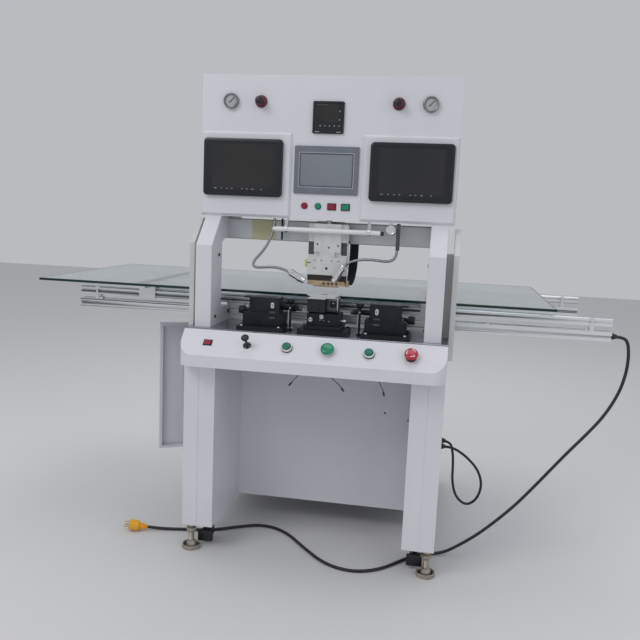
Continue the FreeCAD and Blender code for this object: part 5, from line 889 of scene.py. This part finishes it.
def makeLamp():
    piece = newPiece("workLampTube")
    s = lampShape
    seat = sideSeat(s["left"], s["y"], s["z"], 1)
    long = s["right"] - s["left"]
    r, wide = s["radius"], s["clipWide"]
    addTurned(piece, lampGlass, seat, [(r - 1.5, 0), (r, 1.2), (r, long - 1.2), (r - 1.5, long)])
    addTurned(piece, brightSteel, seat, [(3, -6), (5, -5), (5, -3), (r - 1, -1.0), (r - 1, 0.5)], 40)
    addTurned(piece, blackPlastic, seat, [(r - 1, long - 0.5), (r - 0.4, long + 1), (6, long + 4),
                                          (6, long + 9), (4, long + 10)], 40)
    discX, discZ = s["disc"]
    disc = [(4.0, -3.0), (14.0, -3.0), (15.0, -2.2), (15.0, 2.4), (14.0, 3.4), (12.0, 3.6), (11.0, 1.2),
            (0.3, 1.0)]
    addTurned(piece, chrome, panelSeat(discX, discZ, s["y"] + 3.0), disc)
    addPlate(piece, greySteel, panelSeat(discX, discZ + 7.0, s["y"] + 9.0), 9.0, 27.0, 0.0, 6.2, 1.0, 0.4)
    addTurned(piece, blackOxide, upSeat(*s["hanger"]), [(2.4, 0.0), (3.2, 0.8), (3.2, s["hangerLong"])], 20)
    for x in s["clips"]:
        clip = sideSeat(x - wide / 2, s["y"], s["z"], 1)
        addTurned(piece, chrome, clip, [(r, 0), (r + 2, 0), (r + 2, wide), (r, wide)], 40, caps=False)
        addPlate(piece, brightSteel, panelSeat(x, s["z"] + 17.0, s["y"] + 9.0), wide, 31.5, 0.0, 12.0, 1.0,
                 0.5)
    return donePiece(piece, "machine", ["work_lamp"])


makeLamp()
print("lamp made")

# Bonding head
headShape = {"x": 12.0, "front": 100.0, "middle": 968.0, "earBottom": 983.0, "half": 62.0,
             "topScrews": (-38, -17, 15, 36), "lowScrews": (-38, 36),
             "earHoles": ((5, 14), (-32, 24), (34, 21)), "earPlate": (52.4, 994.0, 112.0),
             "heater": (884.6, 98.0), "plugX": -9.0, "heaterHoles": (5.7, 20.4, 33.0, 46.3),
             "slots": ((-57, -20), (54, -26)), "seam": (41, -28), "cheek": (117.0, 1000.0),
             "cheekThick": 3.0, "cheekScrews": (1018.0, 950.0), "tape": (116.0, 945.0)}


def makeHeadDetail():
    piece = newPiece("headFittings")
    h = headShape
    x, middle, front = h["x"], h["middle"], h["front"]
    for dx in h["topScrews"]:
        seat = panelSeat(x + dx, middle - 12, front)
        addTurned(piece, brightSteel, seat, [(3.1, -2.5), (3.1, -0.6), (2.4, -0.6)], 24)
        # a dark hexagon on each screw head: painted shade of its socket
        addTurned(piece, inkAndHoleShade, seat, [(1.6, -0.62), (1.6, -0.5)], 6)
    for dx in h["lowScrews"]:
        seat = panelSeat(x + dx, middle - 36, front)
        addTurned(piece, greySteel, seat, [(3.1, -2.5), (3.1, -0.8), (1.9, -0.8)], 24)
    # dark discs set in the ear holes: painted shade of the holes
    for dx, up in h["earHoles"]:
        addTurned(piece, inkAndHoleShade, panelSeat(x + dx, h["earBottom"] + up, front), [(2.8, -6), (2.8, -3)],
                  24)
    # dark disc in the hole below the screws: painted shade of the hole
    addTurned(piece, inkAndHoleShade, panelSeat(x, middle - 36, front), [(4.1, -8), (4.1, -4)], 24)
    earX, earZ, earY = h["earPlate"]
    for dx in (-earX, earX):
        addPlate(piece, darkBracket, panelSeat(x + dx, earZ, earY), 18.6, 40.0, -0.2, 0.5, 0.6, 0.2)
    addTurned(piece, brassBlock, panelSeat(h["plugX"], *h["heater"]), [(3.4, -2.0), (3.4, 0.06)], 28)
    # dark discs on the heater's holes: painted shade of the holes
    for hole in h["heaterHoles"]:
        addTurned(piece, inkAndHoleShade, panelSeat(hole, *h["heater"]), [(3.7, -2.0), (3.7, 0.12)], 28)
    # dark strips on the slots: painted shade of the slots
    for dx, up in h["slots"]:
        addPlate(piece, inkAndHoleShade, panelSeat(x + dx, middle + up, front), 12.0, 2.6, -0.2, 0.4, 0.8, 0.1)
    seam = panelSeat(x + h["seam"][0], middle + h["seam"][1], front)
    addPlate(piece, greySteel, seam, 0.8, 56.0, -0.2, 0.25, 0.2, 0.05)
    right, thick = x + h["half"], h["cheekThick"]
    addPlate(piece, satinPlate, sideSeat(right, *h["cheek"], 1), 20.0, 136.0, -0.1, thick, 1.0, 0.5)
    for z in h["cheekScrews"]:
        capScrew(piece, sideSeat(right + thick, h["cheek"][0] - 2.0, z, 1), 3.4, 3.2, blackOxide)
    addPlate(piece, yellowTape, sideSeat(x - h["half"], *h["tape"], -1), 16.0, 22.0, -0.1, 9.0, 2.0, 1.0)
    return donePiece(piece, "press_head")


cableShape = {"wide": 29.0, "thick": 5.8, "corner": 2.7, "endShare": 0.72, "samples": 60,
              "route": [(81, 233, 1060), (81, 235, 1010), (81, 232, 965), (81, 217, 930), (82, 184, 902),
                        (83, 150, 889), (82, 128, 884)]}


def makeHeadCable():
    # a flat sleeve of rounded section carried along its route, narrower towards the heater
    piece = newPiece("headCableSleeve")
    c = cableShape
    line = smoothLine([at(*point) for point in c["route"]], c["samples"])
    outline = roundedBox(c["wide"], c["thick"], c["corner"])
    share = np.interp(np.linspace(0, 1, c["samples"]), [0, 0.5, 1], [1.0, 1.0, c["endShare"]])
    shape = np.stack([outline[:, ::-1] * np.array([1.0, width]) for width in share])
    addRings(piece, carried(line, shape, (1.0, 0.0, 0.0)), sleeveCloth)
    return donePiece(piece, "press_head", ["head_cable"])


makeHeadDetail()
makeHeadCable()
print("head made")

# Camera stages, support and clamp rods
stageShape = {"centre": 23.5, "plate": 162.0, "column": 20.0, "block": 8.0, "top": 838.0, "base": 751.0,
              "platePlace": (790.0, 18.0), "blockPlate": 777.5, "slotZ": 814.5,
              "faceScrews": ((-70, 829.0), (-22, 829.0), (-70, 800.0), (-22, 800.0)),
              "topScrews": ((150, 40), (226, 40), (150, 66), (226, 66)), "clampScrew": (238.0, 791.0, 44.4),
              "knob": (256.0, 276.0, 12.0), "knobY": 51.0, "knobZ": 792.0, "knobFlutes": 48,
              "lens": (78.0, 9.0, 62.0, 806.0), "rod": (108.5, 38.0)}


def makeStageFittings():
    s = stageShape
    wave = 0.5 + 0.5 * np.cos(s["knobFlutes"] * turnOf(144))
    for side, title in ((-1, "left"), (1, "right")):
        piece = newPiece(title + "StageFittings")
        x = s["centre"] + side * s["plate"]
        addPlate(piece, darkBracket, panelSeat(x, *s["platePlace"]), 20.2, 10.2, -1.8, 0.35, 0.8, 0.25)
        addPlate(piece, darkBracket, panelSeat(x + 1.0, s["blockPlate"], s["block"]), 18.0, 6.0, -0.1, 0.5,
                 0.6, 0.2)
        slot = panelSeat(x, s["slotZ"], s["column"])
        addPlate(piece, brightSteel, slot, 11.0, 18.5, -0.2, 1.4, 5.4, 0.7)
        addPlate(piece, greySteel, slot, 5.0, 12.0, 1.4, 1.55, 2.4, 0.05)
        for dx, z in s["faceScrews"]:
            capScrew(piece, panelSeat(x - side * dx, z, s["column"]), 2.6, 1.6, blackOxide, inkAndHoleShade)
        clampX, clampZ, clampY = s["clampScrew"]
        capScrew(piece, panelSeat(s["centre"] + side * clampX, clampZ, clampY), 4.6, 2.6, brightSteel,
                 inkAndHoleShade)
        for dx, y in s["topScrews"]:
            capScrew(piece, upSeat(s["centre"] + side * dx, y, s["top"]), 2.8, 0.8, greySteel, inkAndHoleShade)
        near, far, radius = s["knob"]
        knob = sideSeat(s["centre"] + side * near, s["knobY"], s["knobZ"], side)
        long = far - near
        layers = ((1.2, 0.0), (1.8, 0.45), (long - 4.4, 0.45), (long - 3.8, 0.0))
        addRings(piece, fluted(knob, [(radius + 0.05 + grow * wave, high) for high, grow in layers]),
                 blackOxide)
        addTurned(piece, greySteel, knob, [(radius - 2.0, long), (radius - 2.6, long + 0.4),
                                           (0.3, long + 0.4)])
        start, reach, lensY, lensZ = s["lens"]
        lens = sideSeat(s["centre"] + side * start, lensY, lensZ, -side)
        ring = [(reach + 0.1, -6), (reach + 0.1, -0.4), (reach - 0.6, 0.3), (reach - 2.4, 0.3),
                (reach - 3.0, -0.2)]
        addTurned(piece, darkBracket, lens, ring, caps=False)
        addTurned(piece, screenGlass, lens, [(reach - 2.6, 0.05), (reach * 0.4, 0.5), (0.2, 0.7)])
        donePiece(piece, title + "_stage")


deckShape = {"studs": ((-14.0, 782.0), (20.0, 792.0)), "studY": -2.0, "stud": 7.06,
             "marks": ((14.0, 781.0), (24.5, 781.0), (42.0, 778.0)), "spindle": (74.1, 40.0, 776.0),
             "rodLow": 741.0, "crossPin": 746.0, "clampZ": 809.0, "capZ": 829.0, "cap": 12.02,
             "capFlutes": 24, "stageScrews": ((134.0, 251.0), (-13.0, 86.0)),
             "supportScrews": ((-47.0, 92.0), (-10.0, 84.0))}


def makeDeckFittings():
    piece = newPiece("deckFittings")
    s, d = stageShape, deckShape
    for x, z in d["studs"]:
        seat = panelSeat(x, z, d["studY"])
        addTurned(piece, brightSteel, seat, [(d["stud"], -9.9), (d["stud"], -0.7), (6.4, 0.1), (0.3, 0.15)],
                  40)
        # dark strip across the stud's head: painted shade of its slot
        addPlate(piece, inkAndHoleShade, seat, 11.0, 1.5, 0.1, 0.28, 0.2, 0.05)
    for x, z in d["marks"]:
        addPlate(piece, keyMark, panelSeat(x, z, s["block"]), 4.2, 1.7, -0.1, 0.25, 0.4, 0.1)
    spindle = [(4.4, 0.0), (4.4, 2.4), (3.6, 3.0), (3.6, 8.6), (5.6, 9.2), (5.6, 15.4), (5.0, 16.0),
               (0.3, 16.1)]
    addTurned(piece, brightSteel, sideSeat(*d["spindle"], 1), spindle, 40)
    ridges = d["cap"] + 0.4 * np.cos(d["capFlutes"] * turnOf(96))
    pin = [(0.3, -0.1), (1.5, 0.0), (1.5, 18.5), (0.3, 18.6)]
    for side in (-1, 1):
        x, y = s["centre"] + side * s["rod"][0], s["rod"][1]
        addTurned(piece, chrome, upSeat(x - 5.5, y, d["rodLow"]), [(2.08, 0.0), (2.08, 61.8)], 24,
                  caps=False)
        addTurned(piece, chrome, sideSeat(x - 9.3, y, d["crossPin"], 1), pin, 20)
        addTurned(piece, greySteel, panelSeat(x, d["clampZ"], y - 9.5),
                  [(2.6, -1.0), (2.6, 0.6), (2.0, 1.0)], 20)
        addRings(piece, fluted(upSeat(x, y, d["capZ"]), [(ridges, high) for high in (0.8, 6.8)]),
                 blackPlastic)
        for dx in d["stageScrews"][0]:
            for screwY in d["stageScrews"][1]:
                screw = upSeat(s["centre"] + side * dx, screwY, s["base"])
                capScrew(piece, screw, 4.4, 3.6, brightSteel, inkAndHoleShade)
    for x in d["supportScrews"][0]:
        for y in d["supportScrews"][1]:
            capScrew(piece, upSeat(x, y, s["base"]), 4.4, 3.6, blackOxide, inkAndHoleShade)
    return donePiece(piece, "machine")


barShape = {"slot": (15.0, 76.0, 852.0), "plate": (47.0, 826.0, 30.0), "inset": (50.0, 829.0, 28.8),
            "pin": (50.0, 832.0, 28.0), "strip": (63.5, 828.0, 28.8), "screwY": 10.0,
            "screws": ((-17.0, 838.0), (7.0, 838.0), (-17.0, 812.0), (7.0, 812.0))}


def makeBarFittings():
    piece = newPiece("supportBarFittings")
    b = barShape
    # dark plate over the slot: painted shade of the slot
    addPlate(piece, inkAndHoleShade, upSeat(*b["slot"]), 24.0, 9.0, -0.1, 0.12, 4.4, 0.05)
    addPlate(piece, darkBracket, panelSeat(*b["plate"]), 35.0, 39.0, -0.1, 1.2, 1.0, 0.4)
    addPlate(piece, blackOxide, panelSeat(*b["inset"]), 19.0, 20.0, -0.1, 0.8, 1.0, 0.3)
    addTurned(piece, brightSteel, panelSeat(*b["pin"]), [(1.8, -0.1), (1.8, 0.5)], 20)
    addPlate(piece, brightSteel, panelSeat(*b["strip"]), 2.6, 35.0, -0.1, 0.7, 0.6, 0.2)
    for x, z in b["screws"]:
        capScrew(piece, panelSeat(x, z, b["screwY"]), 3.2, 2.0, blackOxide, inkAndHoleShade)
    return donePiece(piece, "bar")


makeStageFittings()
makeDeckFittings()
makeBarFittings()
print("stages made")

# Screws of the posts
postShape = {"face": 331.0, "screws": ((72.0, 959.0), (181.0, 766.0), (42.0, 765.0)), "radius": 5.0,
             "high": 3.2}


def makePostScrews():
    piece = newPiece("postScrews")
    p = postShape
    for side in (-1, 1):
        for y, z in p["screws"]:
            capScrew(piece, sideSeat(side * p["face"], y, z, -side), p["radius"], p["high"], blackOxide,
                     inkAndHoleShade)
    return donePiece(piece, "machine")


makePostScrews()
print("post screws made")

# Lamp necks
neckRoutes = {"left": {"node": "left_gooseneck", "tip": (-38, 84, 882),
                       "route": [(-160, 104, 1081), (-160, 104, 1062), (-165, 102, 1036), (-178, 98, 1000),
                                 (-201, 94, 966), (-225, 90, 942), (-221, 87, 922), (-182, 86, 927),
                                 (-142, 85, 930), (-100, 84, 916)]},
              "right": {"node": "right_gooseneck", "tip": (34, 80, 888),
                        "route": [(231, 108, 1081), (231, 108, 1060), (231, 106, 1024), (230, 104, 992),
                                  (225, 98, 972), (204, 92, 962), (168, 86, 968), (122, 80, 968),
                                  (86, 77, 958), (66, 78, 940)]},}


neckShape = {"radius": 4.2, "strap": (231.0, 1040.0, 99.0), "strapWide": 12.0, "strapHigh": 81.0}


def makeNecks():
    n = neckShape
    head = [(4.6, -8), (6.6, -7), (7.4, -1), (10.8, 0), (12.2, 1.5), (12.2, 8), (11.2, 9), (11.2, 29),
            (12.4, 30), (12.4, 40), (11.2, 41.5), (9.6, 51), (8.6, 53), (7.2, 53), (7.0, 49)]
    for title, spec in neckRoutes.items():
        piece = newPiece(title + "LampNeck")
        line = smoothLine([at(*p) for p in spec["route"]], 140)
        addRings(piece, carried(line, circle(n["radius"], 20), (0.12, 1.0, 0.05)), flexHose)
        end = at(*spec["route"][-1])
        way = at(*spec["tip"]) - end
        way /= np.linalg.norm(way)
        side = np.cross(way, (0, 1, 0))
        side /= np.linalg.norm(side)
        seat = seatAt(end, side, np.cross(way, side), way)
        addTurned(piece, chrome, seat, head, 40)
        addTurned(piece, whitePlastic, seat, [(6.9, 49), (6.9, 49.6)], 32)
        if title == "right":
            addPlate(piece, darkBracket, panelSeat(*n["strap"]), n["strapWide"], n["strapHigh"], -1.0, 0.8,
                     1.0, 0.3)
        donePiece(piece, "machine", [spec["node"]])


makeNecks()
print("necks made")

# Feet
footShape = {"x": 382.0, "y": (4.0, 824.0), "radius": 29.5, "stem": 9.5, "nut": 17.5,
             "nuts": ((76.0, 88.9), (59.0, 70.0))}


def makeFeet():
    piece = newPiece("levellingFeet")
    f = footShape
    r, nut = f["radius"], f["nut"]
    dish = [(r - 1.5, 0), (r, 1.5), (r, 12.4), (r - 0.8, 13.8), (r - 2.4, 14.2), (r - 3.8, 12.8),
            (r - 5.5, 8.4), (17, 8.6), (15.5, 16.5), (13.4, 20), (12.6, 26), (9, 27)]
    cup = [(16.6, 8.4), (r - 6.0, 8.2), (r - 6.0, 9.0), (16.4, 9.2), (16.6, 8.4)]
    thread = [(f["stem"] - (0.9 if k % 2 else 0.0), 22.0 + 1.1 * k) for k in range(61)]
    for x in (-f["x"], f["x"]):
        for y in f["y"]:
            seat = upSeat(x, y, 0.0)
            addTurned(piece, footPaint, seat, dish, 64)
            addTurned(piece, blackOxide, seat, cup, 64, caps=False)
            addTurned(piece, footPaint, seat, thread, 28)
            for low, high in f["nuts"]:
                sides = [(nut - 1.8, low), (nut, low + 1.6), (nut, high - 1.6), (nut - 1.8, high)]
                addTurned(piece, footPaint, seat, sides, 6)
    return donePiece(piece, "machine", ["levelling_feet"])


pedalShape = {"x": 344.0, "y": 30.0, "low": 12.0, "high": 50.0, "wide": 50.0, "thick": 9.0, "forkY": 58.0}


def makePedals():
    piece = newPiece("casterPedals")
    p = pedalShape
    tall = p["high"] - p["low"]
    for side in (-1, 1):
        seat = panelSeat(side * p["x"], (p["high"] + p["low"]) / 2, p["y"] + p["thick"])
        addPlate(piece, blackPlastic, seat, p["wide"], tall, 0.0, p["thick"], 5.0, 1.6)
        for dx in (-13.0, 13.0):
            arm = panelSeat(side * p["x"] + dx, p["high"] - 8.0, p["forkY"])
            addPlate(piece, blackPlastic, arm, 5.0, 12.0, 0.0, p["forkY"] - p["y"] - p["thick"] + 1.0, 1.0,
                     0.4)
    return donePiece(piece, "machine")


makeFeet()
makePedals()
print("feet made")

# Door lock and keys
doorShape = {"hinge": (-410.0, 425.0), "open": 60.0, "lockReach": 150.0, "lockZ": 520.0, "skin": 6.0,
             "keyOut": 22.0, "keyRing": 12.0, "keyWire": 1.1, "keys": (-2.1, 1.9)}


def doorSeat(x, y, z, right, up, out):
    # local door axes with the door closed, swung to its open angle about the hinge
    turn = math.radians(-doorShape["open"])
    c, s = math.cos(turn), math.sin(turn)
    spin = np.array([[c, -s, 0], [s, c, 0], [0, 0, 1]])
    place = spin @ np.array([x, y, z], float)
    origin = at(doorShape["hinge"][0], doorShape["hinge"][1], 0.0) + place / 1000.0
    return origin, np.array([spin @ np.asarray(v, float) for v in (right, up, out)])


def makeLock():
    piece = newPiece("doorLockKeys")
    d = doorShape
    inward = doorSeat(d["skin"], -d["lockReach"], d["lockZ"], (0, -1, 0), (0, 0, 1), (1, 0, 0))
    addTurned(piece, chrome, inward, [(9, -1), (11.5, -3), (11.5, -0.6), (9, -0.4), (9, 21)], 40)
    addTurned(piece, brightSteel, inward, [(12.5, 2.1), (12.5, 8)], 6)
    addPlate(piece, brightSteel, inward, 14, 34, 17, 19.5, 3, 0.4, (0, 10))
    hung = d["skin"] + d["keyOut"], -d["lockReach"] - 4
    across = (1, 0, 0), (0, 0, 1), (0, -1, 0)
    turn = np.append(turnOf(48), 0.0)[:, None]
    tube = circle(d["keyWire"], 12)
    reach = d["keyRing"] + tube[:, 0]
    rings = np.stack([reach * np.cos(turn), reach * np.sin(turn), tube[:, 1] + 0 * turn], axis=-1)
    addRings(piece, onSeat(doorSeat(*hung, d["lockZ"] - 9, *across), rings), chrome, False, False)
    for offset in d["keys"]:
        key = doorSeat(hung[0], hung[1] + offset, d["lockZ"] - 28, *across)
        addPlate(piece, brightSteel, key, 17.5, 16.5, -1.0, 1.0, 7.5, 0.3)
        addPlate(piece, brightSteel, key, 5.0, 26.0, -0.9, 0.9, 0.6, 0.2, (0, -19))
    return donePiece(piece, "door", ["door_lock"])


makeLock()
print("lock made")

# Cords
railEnd = 904.0
leadHeight = 760.5
pedestalSide = 404.0
leadOnFloor = 5.3
leadRadius = 5.0
hoseRadius = 4.5
wireRadius = 1.2


def makeCord(name, route, radius, replaces):
    # a round cord on one smooth curve, whose control points are the cord's route in the frame's own source
    curve = bpy.data.curves.new(name, "CURVE")
    curve.dimensions = "3D"
    spline = curve.splines.new("NURBS")
    spline.points.add(len(route) - 1)
    for point, place in zip(spline.points, route):
        point.co = (*at(*place), 1.0)
    spline.order_u = 3
    spline.use_endpoint_u = True
    spline.resolution_u = 10
    curve.bevel_depth = radius / 1000.0
    curve.bevel_resolution = 5
    curve.use_fill_caps = True
    curve.materials.append(cordRubber)
    item = bpy.data.objects.new(name, curve)
    bpy.context.scene.collection.objects.link(item)
    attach(item, "machine")
    if replaces:
        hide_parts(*replaces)
    probe = item.copy()
    probe.data = curve.copy()
    probe.data.bevel_depth = 0.0
    bpy.context.scene.collection.objects.link(probe)
    bpy.context.view_layer.update()
    line = bpy.data.meshes.new_from_object(probe.evaluated_get(bpy.context.evaluated_depsgraph_get()))
    bpy.data.objects.remove(probe)
    return item


plugShape = {"start": (-566.0, 81.0, 14.0), "way": (-30.0, -9.0, 5.0), "radius": 18.0, "grips": 18,
             "pins": 9.0}


def makePlug():
    piece = newPiece("mainsPlugBody")
    p = plugShape
    way = np.array(p["way"]) / np.linalg.norm(p["way"])
    side = np.cross(way, (0, 0, 1))
    side /= np.linalg.norm(side)
    seat = seatAt(at(*p["start"]), side, np.cross(side, way), way)
    ribs = [(6.5 + 0.19 * k + (0.0 if k % 2 else 0.8), 1.1 * k) for k in range(25)]
    addTurned(piece, orangePlastic, seat, [(5.2, 0.0)] + ribs + [(12, 28)], 40)
    r = p["radius"]
    wave = 0.5 + 0.5 * np.cos(p["grips"] * turnOf(72))
    layers = ((11, 27.5, 0), (15, 28.5, 0), (r - 0.8, 31, 0.2), (r, 34, 0.8), (r, 52, 0.8),
              (r - 0.4, 58, 0.2), (r - 1.0, 61, 0), (r - 2.2, 62, 0), (r - 3.5, 62, 0))
    addRings(piece, fluted(seat, [(radius - grip * wave, high) for radius, high, grip in layers]),
             orangePlastic)
    for a in (90, 210, 330):
        spot = (p["pins"] * math.cos(math.radians(a)), p["pins"] * math.sin(math.radians(a)))
        addTurned(piece, brassBlock, seat, [(2.4, 60), (2.4, 79.6), (1.4, 81)], 20, spot)
    return donePiece(piece, "machine", ["mains_plug"])


plug = makePlug()
leadRoute = [(railEnd + 1, 215, leadHeight), (railEnd + 34, 215, leadHeight),
             (railEnd + 53, 215, leadHeight - 12), (railEnd + 60, 214, leadHeight - 56),
             (railEnd + 58, 213, leadHeight - 112), (railEnd + 42, 212, leadHeight - 180),
             (railEnd + 4, 209, leadHeight - 256), (railEnd - 42, 207, leadHeight - 318),
             (railEnd - 100, 204, leadHeight - 388), (railEnd - 189, 196, leadHeight - 503),
             (railEnd - 247, 190, leadHeight - 574), (railEnd - 304, 184, leadHeight - 632),
             (railEnd - 362, 176, leadHeight - 684), (railEnd - 420, 170, leadHeight - 726),
             (430, 158, leadOnFloor), (358, 138, leadOnFloor), (300, 70, leadOnFloor),
             (238, -8, leadOnFloor), (155, -43, leadOnFloor), (65, -12, leadOnFloor),
             (-20, 82, leadOnFloor), (-104, 186, leadOnFloor), (-190, 222, leadOnFloor),
             (-268, 186, leadOnFloor), (-345, 134, leadOnFloor), (-430, 116, leadOnFloor),
             (-500, 102, leadOnFloor), (-540, 90, 9), (-566, 81, 14)]
makeCord("mainsLead", leadRoute, leadRadius, ["mains_lead"])
hoseRoute = [
    (pedestalSide + 1, 350, 312), (pedestalSide + 34, 350, 312), (pedestalSide + 62, 350, 302),
    (pedestalSide + 98, 350, 278), (pedestalSide + 136, 352, 238), (pedestalSide + 154, 355, 184),
    (pedestalSide + 140, 359, 126), (pedestalSide + 104, 364, 98), (pedestalSide + 66, 369, 124),
    (pedestalSide + 50, 374, 180), (pedestalSide + 50, 379, 238), (pedestalSide + 46, 383, 286),
    (pedestalSide + 34, 384, 322), (pedestalSide + 1, 384, 322)]
makeCord("hoseLoop", hoseRoute, hoseRadius, ["hose_loop"])
wireRoutes = [
    ([(-34, -55, 629), (-34, -55, 622), (-38, -54, 613), (-47, -54, 604), (-54, -54, 594)], (-3, 0, -4)),
    ([(66, -55, 629), (66, -55, 621), (74, -54, 611), (88, -54, 602), (98, -54, 590)], (3, 0, -4)),
    ([(208, -55, 629), (208, -55, 621), (213, -54, 610), (220, -54, 600), (224, -54, 588)], (1, 0, -4))]
for k, (route, way) in enumerate(wireRoutes):
    piece = newPiece("wireConnector%d" % k)
    way = np.array(way, float) / np.linalg.norm(way)
    seat = seatAt(at(*route[-1]), (0, 1, 0), np.cross(way, (0, 1, 0)), way)
    connector = [(1.4, -0.5), (2.9, 0.6), (2.9, 9), (2.3, 9.6), (2.3, 13.2), (1.8, 13.9)]
    addTurned(piece, blackPlastic, seat, connector, 24)
    tip = donePiece(piece, "machine", ["hanging_wires"] if k == 0 else ())
    makeCord("hangingWire%d" % k, route, wireRadius, ())
print("cords made")

setCamera()
setStudio()
print("camera, light and floor set")
